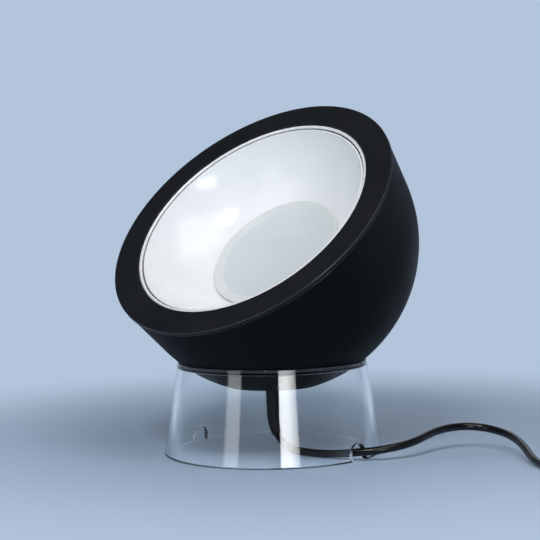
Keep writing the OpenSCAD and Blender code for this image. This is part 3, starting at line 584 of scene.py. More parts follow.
def bright_trim():
    s = Shader("bright_trim", Metallic=0.12, Specular_IOR_Level=0.6)
    patch = s.noise(9 * MM)
    s.colour(patch, dark=(0.91, 0.91, 0.92), light=(0.93, 0.93, 0.94))
    s.roughness(patch, least=0.26, most=0.29)
    return s.material


def white_gloss():
    s = Shader("white_gloss", Specular_IOR_Level=0.5)
    patch = s.noise(60 * MM)
    wave = s.noise(24 * MM, detail=1.0)
    s.colour(patch, dark=(0.885, 0.90, 0.91), light=(0.90, 0.913, 0.922))
    s.roughness(patch, least=0.155, most=0.17)
    s.bump(wave, strength=0.03, depth=0.25 * MM)
    return s.material


def opal_plastic(name, dark, light):
    s = Shader(name, Specular_IOR_Level=0.42, Subsurface_Weight=0.25, Subsurface_Radius=(0.6, 0.65, 0.7),
               Subsurface_Scale=0.004)
    patch = s.noise(30 * MM, detail=4.0)
    grain = s.noise(0.5 * MM, detail=2.0)
    s.colour(patch, dark, light)
    s.roughness(patch, least=0.34, most=0.42)
    s.bump(grain, strength=0.3, depth=0.01 * MM)
    return s.material


# One opal in two tones: the face darker and the rim lighter, painted as the rim catching more light than the
# face
def opal_face_shaded():
    return opal_plastic("opal_face_shaded", dark=(0.65, 0.69, 0.715), light=(0.68, 0.72, 0.745))


def opal_rim_lit():
    return opal_plastic("opal_rim_lit", dark=(0.71, 0.74, 0.745), light=(0.74, 0.765, 0.77))


# Materials of the base and the lead

def clear_glass():
    s = Shader("clear_glass", Base_Color=(0.972, 0.988, 0.994, 1), Transmission_Weight=1.0, IOR=1.48,
               Specular_IOR_Level=0.5)
    s.roughness(s.noise(45 * MM, detail=1.5), least=0.0, most=0.01)
    return s.material


# Dark, rough, opaque band on the glass foot: painted contact shade under the foot
def foot_painted_shade():
    return grained(
        "foot_painted_shade", dark=(0.022, 0.025, 0.028), light=(0.034, 0.038, 0.042), rough=(0.7, 0.8),
        grain_mm=0.4, depth_mm=0.02, patch_mm=25, Specular_IOR_Level=0.2)


def seat_silicone():
    return grained(
        "seat_silicone", dark=(0.008, 0.008, 0.009), light=(0.012, 0.012, 0.013), rough=(0.5, 0.6),
        grain_mm=0.4, depth_mm=0.02, patch_mm=20)


def lead_rubber():
    return grained(
        "lead_rubber", dark=(0.0045, 0.0045, 0.0052), light=(0.007, 0.007, 0.008), rough=(0.18, 0.26),
        grain_mm=1.1, depth_mm=0.015, patch_mm=16, Specular_IOR_Level=0.36)


def boot_rubber():
    return grained(
        "boot_rubber", dark=(0.0065, 0.0065, 0.0075), light=(0.011, 0.011, 0.012), rough=(0.52, 0.62),
        grain_mm=0.9, depth_mm=0.06, patch_mm=6, Specular_IOR_Level=0.2)


def black_plastic():
    return grained(
        "black_plastic", dark=(0.012, 0.012, 0.013), light=(0.018, 0.018, 0.02), rough=(0.42, 0.52),
        grain_mm=0.5, depth_mm=0.035, patch_mm=18, Specular_IOR_Level=0.42)


def rocker_plastic():
    return grained(
        "rocker_plastic", dark=(0.02, 0.02, 0.022), light=(0.027, 0.027, 0.03), rough=(0.28, 0.36),
        grain_mm=0.6, depth_mm=0.015, patch_mm=10)


# Camera and cords

def make_camera():
    data = bpy.data.cameras.new("camera")
    data.sensor_width = SENSOR
    data.lens = CAMERA_LENS
    camera = bpy.data.objects.new("camera", data)
    turn = (Matrix.Rotation(CAMERA_AZIMUTH, 4, "Z") @ Matrix.Rotation(pi / 2 + CAMERA_PITCH, 4, "X")
            @ Matrix.Rotation(-CAMERA_ROLL, 4, "Z"))
    camera.matrix_world = Matrix.Translation(CAMERA_AT) @ turn
    bpy.context.scene.collection.objects.link(camera)
    bpy.context.scene.camera = camera


def coil_path():
    """Turns of the coil: in along the lower layer, up a layer, and out again."""
    path = []
    total = 2 * COIL_TURNS + COIL_CLIMB
    for k in range(int(total * COIL_STEPS) + 1):
        turn = k / COIL_STEPS
        inward = min(turn, COIL_TURNS)
        outward = max(turn - COIL_TURNS - COIL_CLIMB, 0)
        radius = COIL_OUT_R - (COIL_OUT_R - COIL_IN_R) * (inward - outward) / COIL_TURNS
        lift = min(max((turn - COIL_TURNS) / COIL_CLIMB, 0), 1)
        z = COIL_LOW_Z + (COIL_HIGH_Z - COIL_LOW_Z) * lift * lift * (3 - 2 * lift)
        path.append((COIL_MID[0] + radius * cos(2 * pi * turn), COIL_MID[1] + radius * sin(2 * pi * turn), z))
    return path


def boot_turn():
    """Angle through which the boot bends."""
    return (BOOT_L - BOOT_STRAIGHT) / BOOT_BEND


def boot_point(turn):
    """Point on the boot's arc after a turn."""
    out = BOOT_BEND * (1 - cos(turn))
    return Vector((out * cos(BOOT_HEADING), out * sin(BOOT_HEADING),
                   BOOT_TOP_Z - BOOT_STRAIGHT - BOOT_BEND * sin(turn)))


def fall_route():
    """Fall of the lead from the boot's tip to the table."""
    turn = boot_turn()
    way = Vector((sin(turn) * cos(BOOT_HEADING), sin(turn) * sin(BOOT_HEADING), -cos(turn)))
    start = boot_point(turn) + 8 * FIT * way
    end = Vector(FALL_END)
    pulls = (start, start + FALL_REACH * way, end - FALL_REACH * Vector(FALL_LIE), end)
    points = []
    for k in range(FALL_STEPS):
        t = k / FALL_STEPS
        shares = ((1 - t) ** 3, 3 * (1 - t) ** 2 * t, 3 * (1 - t) * t * t, t ** 3)
        points.append(sum((share * pull for share, pull in zip(shares, pulls)), Vector()))
    return points


def make_lead(material):
    """Lead from the boot's tip, through the notch, to the switch."""
    route = fall_route() + [Vector((x, y, z + LEAD_R)) for x, y, z in TABLE_WAY]
    path = [Vector((p.x, p.y, max(p.z, LEAD_R))) for p in smooth_path(route, LEAD_STEPS)]
    tube = sweep(path, [LEAD_R] * len(path), LEAD_SIDES)
    lead = finish_mesh(tube, "lamp_lead", material, None, ("cord_drop", "cord_tube"))
    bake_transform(lead)
    return lead, path


def make_tail(material):
    """Lead from the switch to the coil, through its turns, and out to the plug."""
    turns = coil_path()
    path = (smooth_path(TAIL_ROUTE, TAIL_STEPS)[:-1] + smooth_path(turns, TURN_SPLITS)[:-1]
            + smooth_path(turns[-1:] + END_ROUTE, TAIL_STEPS))
    tube = sweep(path, [LEAD_R] * len(path), TAIL_SIDES)
    tail = finish_mesh(tube, "coiled_lead", material, "base", ("cord_tail", "cord_coil"))
    return tail, path


# Pieces of the head

def make_shell(material, highlight_edge_material):
    """Ball with a flared mouth, its underside cut flat, its lip rounded and turned in."""
    tangent = -BOWL_R * sin(FLARE)
    inner_r = BOWL_R - BOWL_WALL
    lip_r = flare_r(BOWL_R, LIP_S)
    outer = arc_points((0, 0), BOWL_R, -pi / 2, -FLARE, SHELL_STEPS)
    outer[0] = (0.0, -BOWL_R)
    lip = rounded([
        (flare_r(BOWL_R, tangent), tangent), (lip_r, LIP_S), (flare_r(inner_r, LIP_S), LIP_S),
        (flare_r(inner_r, LIP_REACH), LIP_REACH)], [0, LIP_ROUND, LIP_IN_ROUND, 0], closed=False)
    bm = lathe(outer + lip[1:], HEAD_FRAME)
    whole = bm.verts[:] + bm.edges[:] + bm.faces[:]
    cut = bmesh.ops.bisect_plane(
        bm, geom=whole, plane_co=(0, 0, FLAT_Z), plane_no=(0, 0, -1), clear_outer=True)
    rim = [e for e in cut["geom_cut"] if isinstance(e, bmesh.types.BMEdge)]
    bmesh.ops.edgeloop_fill(bm, edges=rim)
    # The lip's outer edge band takes the edge material: painted highlight
    mark_head_faces(bm, lambda r, s: s > LIP_S - LIP_HIGHLIGHT_DEPTH and r > lip_r - LIP_HIGHLIGHT_W)
    return finish_mesh(bm, "bowl_shell", material, "head", ("head_shell",), highlight_edge_material)


def make_bezel(material, highlight_edge_material):
    """Flat ring with soft edges and a skirt behind it."""
    skirt_in = SKIRT_R - SKIRT_WALL
    profile = rounded([
        (BEZEL_IN_R, BEZEL_BACK), (BEZEL_IN_R, MOUTH_AHEAD), (BEZEL_R, MOUTH_AHEAD), (BEZEL_R, BEZEL_BACK),
        (SKIRT_R, BEZEL_BACK), (SKIRT_R, RING_FRONT), (skirt_in, RING_FRONT), (skirt_in, BEZEL_BACK)],
        [SOFT_EDGE, BEZEL_ROUND, BEZEL_FRONT_ROUND, BEZEL_ROUND, 0, SOFT_EDGE, SOFT_EDGE, 0])
    bm = lathe(profile, HEAD_FRAME, closed=True)
    # The bezel's front outer rounding takes the edge material: painted highlight
    highlight_r = BEZEL_R - BEZEL_FRONT_ROUND
    highlight_s = MOUTH_AHEAD - BEZEL_FRONT_ROUND
    mark_head_faces(bm, lambda r, s: r > highlight_r and s > highlight_s)
    return finish_mesh(bm, "bezel", material, "head", ("front_bezel",), highlight_edge_material)


def make_trim(material):
    """Bright bead on a thin foot."""
    bead = TRIM_W / 2 - BEAD_CLEAR
    half_foot = bead / 2
    middle = BEZEL_IN_R - TRIM_W / 2
    top = MOUTH_AHEAD - TRIM_RECESS - bead
    neck = asin(half_foot / bead)
    profile = arc_points((middle, top), bead, -pi / 2 + neck, 3 * pi / 2 - neck, BEAD_STEPS)
    profile += [(middle - half_foot, FLANGE_FRONT), (middle + half_foot, FLANGE_FRONT)]
    bm = lathe(profile, HEAD_FRAME, closed=True)
    return finish_mesh(bm, "trim_bead", material, "head", ("trim_ring",))


def reflector_arc():
    """Centre, radius and end angles of the reflector's inner face."""
    top_r = BEZEL_IN_R - TRIM_W - TRIM_GAP - REFLECTOR_EDGE
    top = Vector((top_r, REFLECTOR_FRONT))
    end = Vector((REFLECTOR_HOLE_R, HOLE_S))
    chord = top - end
    half = atan2(chord.x, chord.y) - REFLECTOR_SLOPE
    radius = chord.length / (2 * sin(half))
    centre = top + radius * Vector((-cos(REFLECTOR_SLOPE), sin(REFLECTOR_SLOPE)))
    start = atan2(top.y - centre.y, top.x - centre.x)
    stop = atan2(end.y - centre.y, end.x - centre.x)
    return centre, radius, start, stop


def make_reflector(material, gap_shade_material):
    """White bowl with a rounded front edge and a fixing flange. Its outer edge and flange are painted dark as
    the shade in the gap behind the trim.
    """
    centre, radius, start, stop = reflector_arc()
    inner = arc_points(centre, radius, start, stop, REFLECTOR_STEPS)
    outer = arc_points(centre, radius + REFLECTOR_WALL, stop, start, REFLECTOR_STEPS)
    flange = [p for p in outer if p[1] < RING_FRONT][-1]
    below = outer[:outer.index(flange) + 1]
    top_r = inner[0][0]
    edge_r = top_r + REFLECTOR_EDGE
    edge_s = REFLECTOR_FRONT - REFLECTOR_EDGE_DROP
    profile = inner + below + [
        (FLANGE_R, RING_FRONT), (FLANGE_R, FLANGE_FRONT), (edge_r, FLANGE_FRONT), (edge_r, edge_s),
        (edge_r - REFLECTOR_EDGE_IN, REFLECTOR_FRONT), (top_r + SOFT_EDGE, REFLECTOR_FRONT + FIT)]
    bm = lathe(profile, HEAD_FRAME, closed=True)
    # Outer edge and flange faces take the dark material: painted shade in the gap
    mark_head_faces(bm, lambda r, s: r > edge_r - FIT and s < edge_s - FIT)
    return finish_mesh(bm, "reflector_bowl", material, "head", ("reflector",), gap_shade_material)


def make_diffuser(material, lit_rim_material):
    """Opal dish with a sloping rim and a flange that the reflector holds. Outside the flat face it takes the
    lighter copy of the opal: painted light on the rim.
    """
    face = HOLE_S + DIFFUSER_RISE
    rim = HOLE_S + DIFFUSER_RIM_RISE
    edge_r = REFLECTOR_HOLE_R - FIT
    shoulder = HOLE_S - REFLECTOR_WALL - FIT
    back = shoulder - DIFFUSER_FLANGE_T
    flange_r = REFLECTOR_HOLE_R + DIFFUSER_FLANGE_W
    profile = rounded([
        (0, face), (DIFFUSER_FACE_R, face), (edge_r - DIFFUSER_RIM_W, rim), (edge_r, rim), (edge_r, shoulder),
        (flange_r, shoulder), (flange_r, back), (0, back)],
        [0, DISH_ROUND, DISH_RIM_ROUND, DISH_RIM_ROUND, 0, DISH_FLANGE_ROUND, DISH_FLANGE_ROUND, 0],
        closed=False)
    bm = lathe(profile, HEAD_FRAME)
    # Faces outside the flat face take the lighter opal: painted light
    mark_head_faces(bm, lambda r, s: r > DIFFUSER_FACE_R)
    return finish_mesh(bm, "diffuser_disc", material, "head", ("diffuser",), lit_rim_material)


def boot_path():
    """Centre line of the boot: straight down, then an arc towards the notch."""
    straight = [Vector((0, 0, BOOT_TOP_Z - BOOT_STRAIGHT * k / BOOT_STRAIGHT_STEPS))
                for k in range(BOOT_STRAIGHT_STEPS)]
    return straight + [boot_point(boot_turn() * k / BOOT_ARC_STEPS) for k in range(BOOT_ARC_STEPS + 1)]


def make_boot(material):
    """Tapered boot with a rounded tip."""
    path = boot_path()
    last = len(path) - 1
    radii = [BOOT_ROOT_R + (BOOT_TIP_R - BOOT_ROOT_R) * i / last for i in range(last + 1)]
    radii[-1] -= BOOT_TIP_CUT
    radii[-2] -= BOOT_TIP_EASE
    tube = sweep(path, radii, BOOT_SIDES)
    boot = finish_mesh(tube, "strain_boot", material, None, ("strain_relief",))
    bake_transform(boot)
    return boot


# Glass base

def under_ball(sphere, radius):
    """Height of a sphere about the ball's centre, on its underside."""
    return BALL_Z - sqrt(sphere ** 2 - radius ** 2)


def glass_section(foot_z):
    """Closed section of the glass wall above a height, with fire-polished edges and the seat's recess."""
    slope = (FOOT_R - RIM_R) / BASE_H
    foot_in_r = FOOT_R - GLASS_WALL
    lip_r = RIM_R - LIP_W
    inner_top = under_ball(SEAT_SPHERE, RIM_R - GLASS_WALL)
    corners = [
        (FOOT_R - slope * foot_z, foot_z), (RIM_R, BASE_H),
        (lip_r, under_ball(LIP_SPHERE, lip_r)), (lip_r, under_ball(SEAT_SPHERE, lip_r)),
        (foot_in_r - slope * inner_top, inner_top), (foot_in_r - slope * foot_z, foot_z)]
    radii = [FOOT_ROUND, RIM_ROUND, LIP_EDGE_ROUND, LIP_EDGE_ROUND, RECESS_ROUND, FOOT_ROUND]
    return held(rounded(corners, radii), True)


def notch_columns():
    """Angle and foot height of each column from a notch's middle to its outside, with round feet."""
    half = NOTCH_W / 2
    spring = NOTCH_H - half
    columns = []
    for k in range(NOTCH_STEPS + 1):
        t = pi / 2 * k / NOTCH_STEPS
        columns.append((half * sin(t), spring + half * cos(t)))
    columns += [(half + beside, z) for beside, z in NOTCH_FEET]
    return [(asin(y / (FOOT_R - GLASS_WALL / 2)), z) for y, z in columns]


def glass_columns():
    """Angle and foot height of each column round the ring, with a notch on each side."""
    quarter = notch_columns()
    last = quarter[-1][0]
    plain = range(1, PLAIN_GLASS_STEPS + 1)
    quarter += [(last + (pi / 2 - last) * k / PLAIN_GLASS_STEPS, 0.0) for k in plain]
    ring = []
    for first, turn in ((0.0, 1), (pi, -1), (pi, 1), (2 * pi, -1)):
        part = [(first + turn * a, z) for a, z in quarter]
        ring += part[:-1] if turn == 1 else part[::-1][:-1]
    return ring


def make_glass(material, foot_shade_material):
    """Tapered glass ring with arched notches. The bottom and outer edge of its foot are painted dark as the
    shade where it stands on the floor.
    """
    bm = bmesh.new()
    columns = []
    for angle, z in glass_columns():
        columns.append([bm.verts.new((r * cos(angle), r * sin(angle), h)) for r, h in glass_section(z)])
    for a, b in zip(columns, columns[1:] + columns[:1]):
        join_loops(bm, a, b)
    # Low faces at the foot's bottom and outer edge take the dark material: painted contact shade
    for face in bm.faces:
        outer = face.calc_center_median().xy.length > FOOT_R - FOOT_SHADE_W
        if outer and max(v.co.z for v in face.verts) < FOOT_SHADE_Z:
            face.material_index = 1
    glass = finish_mesh(bm, "glass_ring", material, "base", ("glass_base",), foot_shade_material)
    glass.visible_shadow = False
    return glass


# Switch and plug on the lead

def make_switch(material, rocker_material):
    """Two case halves that meet at a seam, and the rocker."""
    half = SWITCH_H / 2
    plan = round_plan(SWITCH_L, SWITCH_W, SWITCH_CORNER, SWITCH_CORNER_STEPS)
    lower = [*SWITCH_FOOT, *((half - gap, inset) for gap, inset in SWITCH_SEAM)]
    upper = [*((half + gap, inset) for gap, inset in reversed(SWITCH_SEAM)),
             *((SWITCH_H - depth, inset) for depth, inset in SWITCH_CROWN)]
    bottom_bm = loft(boxed(plan, lower, SWITCH_MID))
    bottom = finish_mesh(
        bottom_bm, "switch_case_bottom", material, "base", ("switch_lower",))
    top_bm = loft(boxed(plan, upper, SWITCH_MID))
    open_window(top_bm)
    top = finish_mesh(top_bm, "switch_case_top", material, "base", ("switch_upper",))
    return [bottom, top, make_rocker(rocker_material)]


def open_window(bm):
    """Cuts the rocker's window into the top of the switch's case, with a well under it."""
    window = round_plan(
        ROCKER_L + 2 * ROCKER_CLEAR, ROCKER_W + ROCKER_CLEAR, WINDOW_ROUND, WINDOW_CORNER_STEPS)
    lid = [f for f in bm.faces if f.calc_center_median().z > SWITCH_H - NEAR]
    bmesh.ops.delete(bm, geom=lid, context="FACES_ONLY")
    rim = [v for v in bm.verts if v.co.z > SWITCH_H - NEAR]
    well = [[bm.verts.new((SWITCH_MID[0] + x, SWITCH_MID[1] + y, z)) for x, y in window]
            for z in (SWITCH_H, SWITCH_H - WELL_DEPTH)]
    join_loops(bm, well[0], well[1])
    bm.faces.new(well[1])
    top = set(rim) | set(well[0])
    edges = [e for e in bm.edges if len(e.link_faces) == 1 and all(v in top for v in e.verts)]
    bmesh.ops.triangle_fill(bm, edges=edges, use_beauty=True)


def make_rocker(material):
    """Rocker with a shallow valley and soft ends, lying on its pressed end."""
    rise = SWITCH_H + ROCKER_RISE - ROCKER_PIN_Z
    valley = SWITCH_H + ROCKER_VALLEY - ROCKER_PIN_Z
    end = ROCKER_L / 2
    side = rounded([
        (-end, 0), (-end, rise), (0, valley), (end, rise), (end, 0),
        (ROCKER_FOOT, -ROCKER_FOOT), (-ROCKER_FOOT, -ROCKER_FOOT)],
        [SOFT_EDGE, ROCKER_END_ROUND, ROCKER_VALLEY_ROUND, ROCKER_END_ROUND, SOFT_EDGE,
         ROCKER_FOOT_ROUND, ROCKER_FOOT_ROUND], steps=FINE_CORNER_STEPS)
    half = ROCKER_W / 2
    inside = half - ROCKER_SIDE_ROUND
    rows = []
    for y, shrink in ((-half, ROCKER_SIDE_SHRINK), (-inside, 1), (inside, 1), (half, ROCKER_SIDE_SHRINK)):
        rows.append([(x * shrink, y, z * shrink) for x, z in side])
    bm = loft(rows)
    bm.transform(Matrix.Translation((*SWITCH_MID, ROCKER_PIN_Z)) @ Matrix.Rotation(-ROCKER_TIP, 4, "Y"))
    return finish_mesh(bm, "switch_rocker_cap", material, "rocker", ("switch_rocker",))


def plug_plan():
    """Outline of the plug's body about its middle, narrow at the lead and wide at the pins."""
    neck = LEAD_R + PLUG_RELIEF_THICK + EDGE_BEVEL
    end = PLUG_L / 2
    side = PLUG_W / 2
    shoulder = side - PLUG_BEVEL
    return rounded([
        (end, -neck), (end, neck), (end / 2, shoulder), (0, side), (-end, side),
        (-end, -side), (0, -side), (end / 2, -shoulder)],
        [PLUG_NECK_ROUND, PLUG_NECK_ROUND, PLUG_SHOULDER_ROUND, PLUG_SIDE_ROUND, PLUG_FACE_ROUND,
         PLUG_FACE_ROUND, PLUG_SIDE_ROUND, PLUG_SHOULDER_ROUND], steps=FINE_CORNER_STEPS)


def relief_profile():
    """Half section of the plug's strain relief: a cone with grooves between its ribs."""
    profile = [(0, 0)]
    for k in range(RIB_COUNT):
        for along, dip in RIB_FORM:
            share = (k + along) / RIB_COUNT
            wall = PLUG_RELIEF_THIN + (PLUG_RELIEF_THICK - PLUG_RELIEF_THIN) * share
            groove = dip * (RIB_LEAST + (1 - RIB_LEAST) * share)
            profile.append((LEAD_R + wall - groove, PLUG_RELIEF_L * share))
    return profile + [(LEAD_R + PLUG_RELIEF_THICK, PLUG_RELIEF_L), (0, PLUG_RELIEF_L)]


def make_plug(material, boot_material):
    """Plug body with soft edges, and its ribbed strain relief."""
    middle = (PLUG_START[0] - PLUG_RELIEF_L - PLUG_L / 2, PLUG_START[1])
    levels = [*PLUG_EDGE, *((PLUG_H - depth, inset) for depth, inset in reversed(PLUG_EDGE))]
    body_bm = loft(boxed(plug_plan(), levels, middle))
    body = finish_mesh(body_bm, "plug_case", material, "base", ("plug_body",))
    axis = Matrix.Translation((*PLUG_START, PLUG_AXIS_Z)) @ Matrix.Rotation(-pi / 2, 4, "Y")
    relief_bm = lathe(relief_profile(), axis, RELIEF_TURN_STEPS)
    relief = finish_mesh(relief_bm, "plug_relief_ribs", boot_material, "base", ("plug_relief",))
    return [body, relief]


def tie_outline(out, radius):
    """Loop with round corners round the coil's section, at a distance outside it."""
    low = COIL_IN_R - LEAD_R - FIT - out
    high = COIL_OUT_R + LEAD_R + FIT + out
    bottom = TIE_T - out
    top = TIE_T + COIL_LAYERS * 2 * LEAD_R + 3 * FIT + out
    return rounded([(low, bottom), (high, bottom), (high, top), (low, top)], radius, steps=FINE_CORNER_STEPS)


def make_ties(material):
    """Two straps round the coil."""
    loop = tie_outline(TIE_T / 2, TIE_ROUND)
    outer = tie_outline(TIE_T, TIE_OUT_ROUND)
    inner = [(2 * a[0] - b[0], 2 * a[1] - b[1]) for a, b in zip(loop, outer)]
    half = TIE_W / 2
    ties = []
    for name, angle in TIE_ANGLES.items():
        bm = bmesh.new()
        rows = []
        for section, y in ((outer, -half), (outer, half), (inner, half), (inner, -half)):
            rows.append([bm.verts.new((r, y, z)) for r, z in section])
        for a, b in zip(rows, rows[1:] + rows[:1]):
            join_loops(bm, a, b)
        bm.transform(Matrix.Translation((*COIL_MID, 0)) @ Matrix.Rotation(angle, 4, "Z"))
        ties.append(finish_mesh(bm, name, material, "base"))
    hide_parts("coil_ties")
    return ties


# Carried-over solids

def dress_nodes():
    """Finishes for the solids that stay as they are: dark and light colour, roughness and grain."""
    steel = metal("plain_steel", (0.5, 0.51, 0.53), (0.62, 0.63, 0.65), (0.28, 0.4))
    nickel = metal("nickel_pins", (0.66, 0.65, 0.62), (0.76, 0.75, 0.72), (0.16, 0.26))
    brass = metal("brass_parts", (0.62, 0.46, 0.2), (0.72, 0.56, 0.27), (0.24, 0.36))
    aluminium = metal("bare_aluminium", (0.6, 0.61, 0.63), (0.7, 0.71, 0.73), (0.32, 0.45))
    white = grained("white_plastic", (0.72, 0.72, 0.7), (0.78, 0.78, 0.76), (0.4, 0.5), 0.5, 0.03)
    board = grained("white_board", (0.78, 0.78, 0.74), (0.84, 0.84, 0.8), (0.3, 0.4), 0.8, 0.01)
    phosphor = grained("led_phosphor", (0.72, 0.5, 0.08), (0.8, 0.6, 0.14), (0.35, 0.45), 0.3, 0.01)
    pad = grained("pad_grey", (0.3, 0.35, 0.38), (0.36, 0.41, 0.44), (0.6, 0.7), 0.6, 0.03)
    green = grained("circuit_green", (0.02, 0.11, 0.05), (0.03, 0.15, 0.07), (0.3, 0.4), 0.7, 0.02)
    red = grained("wire_red", (0.32, 0.03, 0.025), (0.4, 0.045, 0.035), (0.35, 0.45), 0.6, 0.02)
    dark = black_plastic()
    finishes = {
        "mouth_ring": steel, "bezel_clips": steel, "reflector_screws": steel, "heat_sink_screws": steel,
        "driver_screws": steel, "switch_screws": steel, "rocker_pin": steel, "plug_pins": nickel,
        "terminal_screws": brass, "switch_contacts": brass, "heat_sink": aluminium, "diffuser_ring": white,
        "driver_case": white, "driver_lid": white, "terminal_block": white, "led_board": board,
        "led_chips": phosphor, "thermal_pad": pad, "driver_board": green, "driver_parts": dark,
        "led_wires": red, "lead_inner": lead_rubber(), "cable_gland": dark, "gland_nut": dark,
        "seat_ring": seat_silicone()}
    for node, material in finishes.items():
        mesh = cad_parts[node].data
        mesh.materials.clear()
        mesh.materials.append(material)


# Floor and light

def around_camera(turn_deg, distance, height):
    """Place at an angle to the right of the line from the lamp to the camera."""
    angle = CAMERA_AZIMUTH - pi / 2 + radians(turn_deg)
    return Vector((distance * cos(angle), distance * sin(angle), height))


def seen_directly(tree):
    """1 where the camera looks, also by way of a mirror or glass, and 0 for light that falls on things."""
    path = add_node(tree, "ShaderNodeLightPath").outputs
    seen = path["Is Camera Ray"]
    for other in ("Is Glossy Ray", "Is Transmission Ray"):
        seen = calculate(tree, "MAXIMUM", seen, path[other])
    unlit = calculate(tree, "LESS_THAN", path["Diffuse Depth"], 1)
    return calculate(tree, "MULTIPLY", seen, unlit)


def falling(tree, value, start, end, least):
    """1 up to start, and then smoothly down to the least at end."""
    return add_node(tree, "ShaderNodeMapRange", {
        "Value": value, "From Min": start, "From Max": end, "To Min": 1.0, "To Max": least,
    }, interpolation_type="SMOOTHSTEP").outputs["Result"]


def studio_dimness(tree):
    """Strength of the backdrop. In reflections, the studio is darker overhead and opposite the backdrop."""
    way = add_node(tree, "ShaderNodeTexCoord").outputs["Generated"]
    height = add_node(tree, "ShaderNodeSeparateXYZ", {0: way}).outputs["Z"]
    to_camera = around_camera(0, 1, 0)
    front = add_node(tree, "ShaderNodeVectorMath", {0: way, 1: to_camera}, operation="DOT_PRODUCT")
    above = falling(tree, height, *DIM_ABOVE)
    facing = falling(tree, front.outputs["Value"], *DIM_FACING)
    dim = calculate(tree, "MULTIPLY", calculate(tree, "MULTIPLY", above, facing), BACKDROP_REFLECTED)
    direct = add_node(tree, "ShaderNodeLightPath").outputs["Is Camera Ray"]
    mixed = add_node(tree, "ShaderNodeMix", {"Factor": direct, "A": dim, "B": 1.0}, data_type="FLOAT")
    return mixed.outputs["Result"]


def make_world():
    """Soft light from all round, and the backdrop's colour where the camera sees past the floor."""
    world = bpy.data.worlds.new("studio")
    bpy.context.scene.world = world
    world.use_nodes = True
    tree = world.node_tree
    lit = tree.nodes["Background"]
    lit.inputs["Color"].default_value = (*AMBIENT, 1)
    lit.inputs["Strength"].default_value = AMBIENT_STRENGTH
    seen = add_node(tree, "ShaderNodeBackground", {"Color": (*BACKDROP, 1), "Strength": studio_dimness(tree)})
    mix = add_node(
        tree, "ShaderNodeMixShader", {0: seen_directly(tree), 1: lit.outputs[0], 2: seen.outputs[0]})
    tree.links.new(mix.outputs[0], tree.nodes["World Output"].inputs["Surface"])


def floor_material():
    """Pale matte floor that fades into the backdrop's colour away from the lamp."""
    s = Shader("pale_floor", Specular_IOR_Level=0.22)
    patch = s.noise(FLOOR_PATCH, detail=2.0)
    s.colour(patch, FLOOR_DARK, FLOOR_LIGHT)
    s.roughness(patch, least=0.42, most=0.45)
    pool = around_camera(0, -POOL_BACK, 0) + around_camera(90, POOL_RIGHT, 0)
    reach = add_node(s.tree, "ShaderNodeVectorMath", {0: s.place, 1: pool}, operation="DISTANCE")
    fade = add_node(s.tree, "ShaderNodeMapRange", {
        "Value": reach.outputs["Value"], "From Min": FADE_START, "From Max": FADE_END,
    }, interpolation_type="SMOOTHSTEP")
    glow = add_node(s.tree, "ShaderNodeEmission", {"Color": (*BACKDROP, 1)})
    seen = calculate(s.tree, "MULTIPLY", fade.outputs["Result"], seen_directly(s.tree))
    mix = add_node(s.tree, "ShaderNodeMixShader", {0: seen, 1: s.bsdf.outputs[0], 2: glow.outputs[0]})
    s.tree.links.new(mix.outputs[0], s.tree.nodes["Material Output"].inputs["Surface"])
    return s.material


def make_floor():
    """Wide floor just under the lamp's foot."""
    bm = bmesh.new()
    signs = ((-1, -1), (1, -1), (1, 1), (-1, 1))
    bm.faces.new([bm.verts.new((x * FLOOR_REACH, y * FLOOR_REACH, 0)) for x, y in signs])
    mesh = bpy.data.meshes.new("floor")
    bm.to_mesh(mesh)
    bm.free()
    mesh.materials.append(floor_material())
    floor = bpy.data.objects.new("floor", mesh)
    floor.location.z = -FLOOR_DROP
    bpy.context.scene.collection.objects.link(floor)


def fade_across(data, shares):
    """Sets how bright a light's face is from one side to the other, by (place, share) pairs."""
    data.use_nodes = True
    tree = data.node_tree
    face = add_node(tree, "ShaderNodeNewGeometry")
    across = add_node(tree, "ShaderNodeSeparateXYZ", {0: face.outputs["Parametric"]})
    ramp = add_node(tree, "ShaderNodeValToRGB", {"Fac": across.outputs["X"]})
    steps = ramp.color_ramp.elements
    for place, _ in shares[1:-1]:
        steps.new(place)
    for step, (place, share) in zip(steps, shares):
        step.position = place
        step.color = (share, share, share, 1)
    tree.links.new(ramp.outputs["Color"], tree.nodes["Emission"].inputs["Strength"])


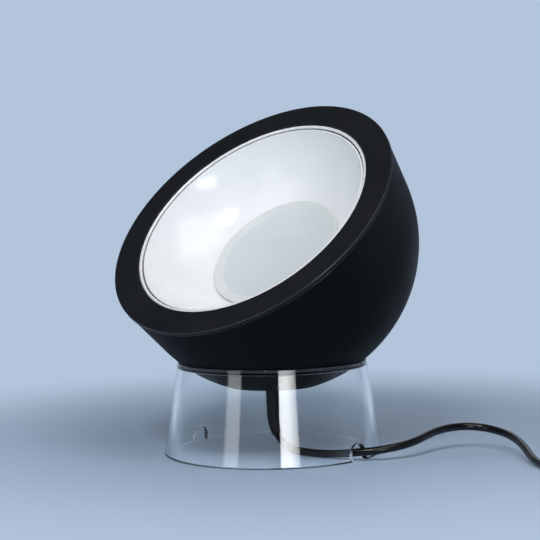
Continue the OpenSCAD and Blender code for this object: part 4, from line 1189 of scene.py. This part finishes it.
def make_light(name, place, colour, power, width, height, in_glass=False, shares=()):
    """Rectangular light. The glass lets its light through, and shows its face where in_glass is set."""
    data = bpy.data.lights.new(name, "AREA")
    data.shape = "RECTANGLE"
    data.size = width
    data.size_y = height
    data.energy = power
    data.color = colour
    light = bpy.data.objects.new(name, data)
    light.location = place
    light.rotation_euler = (LIGHT_AIM - place).to_track_quat("-Z", "Y").to_euler()
    light.visible_transmission = in_glass
    if shares:
        fade_across(data, shares)
    bpy.context.scene.collection.objects.link(light)


def make_lights():
    """Softboxes and fills round the lamp, and two low panels that the glass ring mirrors."""
    make_light("key_softbox", around_camera(-13.5, 1.15, 1.27), SOFT_WHITE, power=7.2, width=0.3, height=0.3)
    make_light("main_softbox", around_camera(24, 0.75, 1.35), SOFT_WHITE, power=7.1, width=1.0, height=1.0)
    make_light("left_fill", around_camera(-58, 1.3, 0.9), SOFT_WHITE, power=3.5, width=0.9, height=0.9)
    make_light("right_panel", around_camera(17, 1.5, 0.29), PANEL_WHITE, power=4.9, width=0.55, height=0.26,
               in_glass=True, shares=PANEL_SHARES)
    make_light("left_panel", around_camera(-45, 1.6, 0.3), COOL_WHITE, power=0.95, width=0.45, height=0.26,
               in_glass=True)
    make_light("back_fill", around_camera(165, 1.5, 1.1), COOL_WHITE, power=2.4, width=1.0, height=1.0)


def main():
    make_camera()
    lead_material = lead_rubber()
    lead, lead_path = make_lead(lead_material)
    tail, tail_path = make_tail(lead_material)
    plastic = black_plastic()
    boot_material = boot_rubber()
    switch = make_switch(plastic, rocker_plastic())
    plug = make_plug(plastic, boot_material)
    ties = make_ties(plastic)
    edge = edge_painted_highlight()
    make_shell(matte_black_paint(), edge)
    make_bezel(satin_black_paint(), edge)
    make_trim(bright_trim())
    make_reflector(white_gloss(), gap_painted_shade())
    make_diffuser(opal_face_shaded(), opal_rim_lit())
    make_boot(boot_material)
    make_glass(clear_glass(), foot_painted_shade())
    dress_nodes()
    make_world()
    make_floor()
    make_lights()
    scene = bpy.context.scene
    scene.view_settings.view_transform = "Standard"


main()
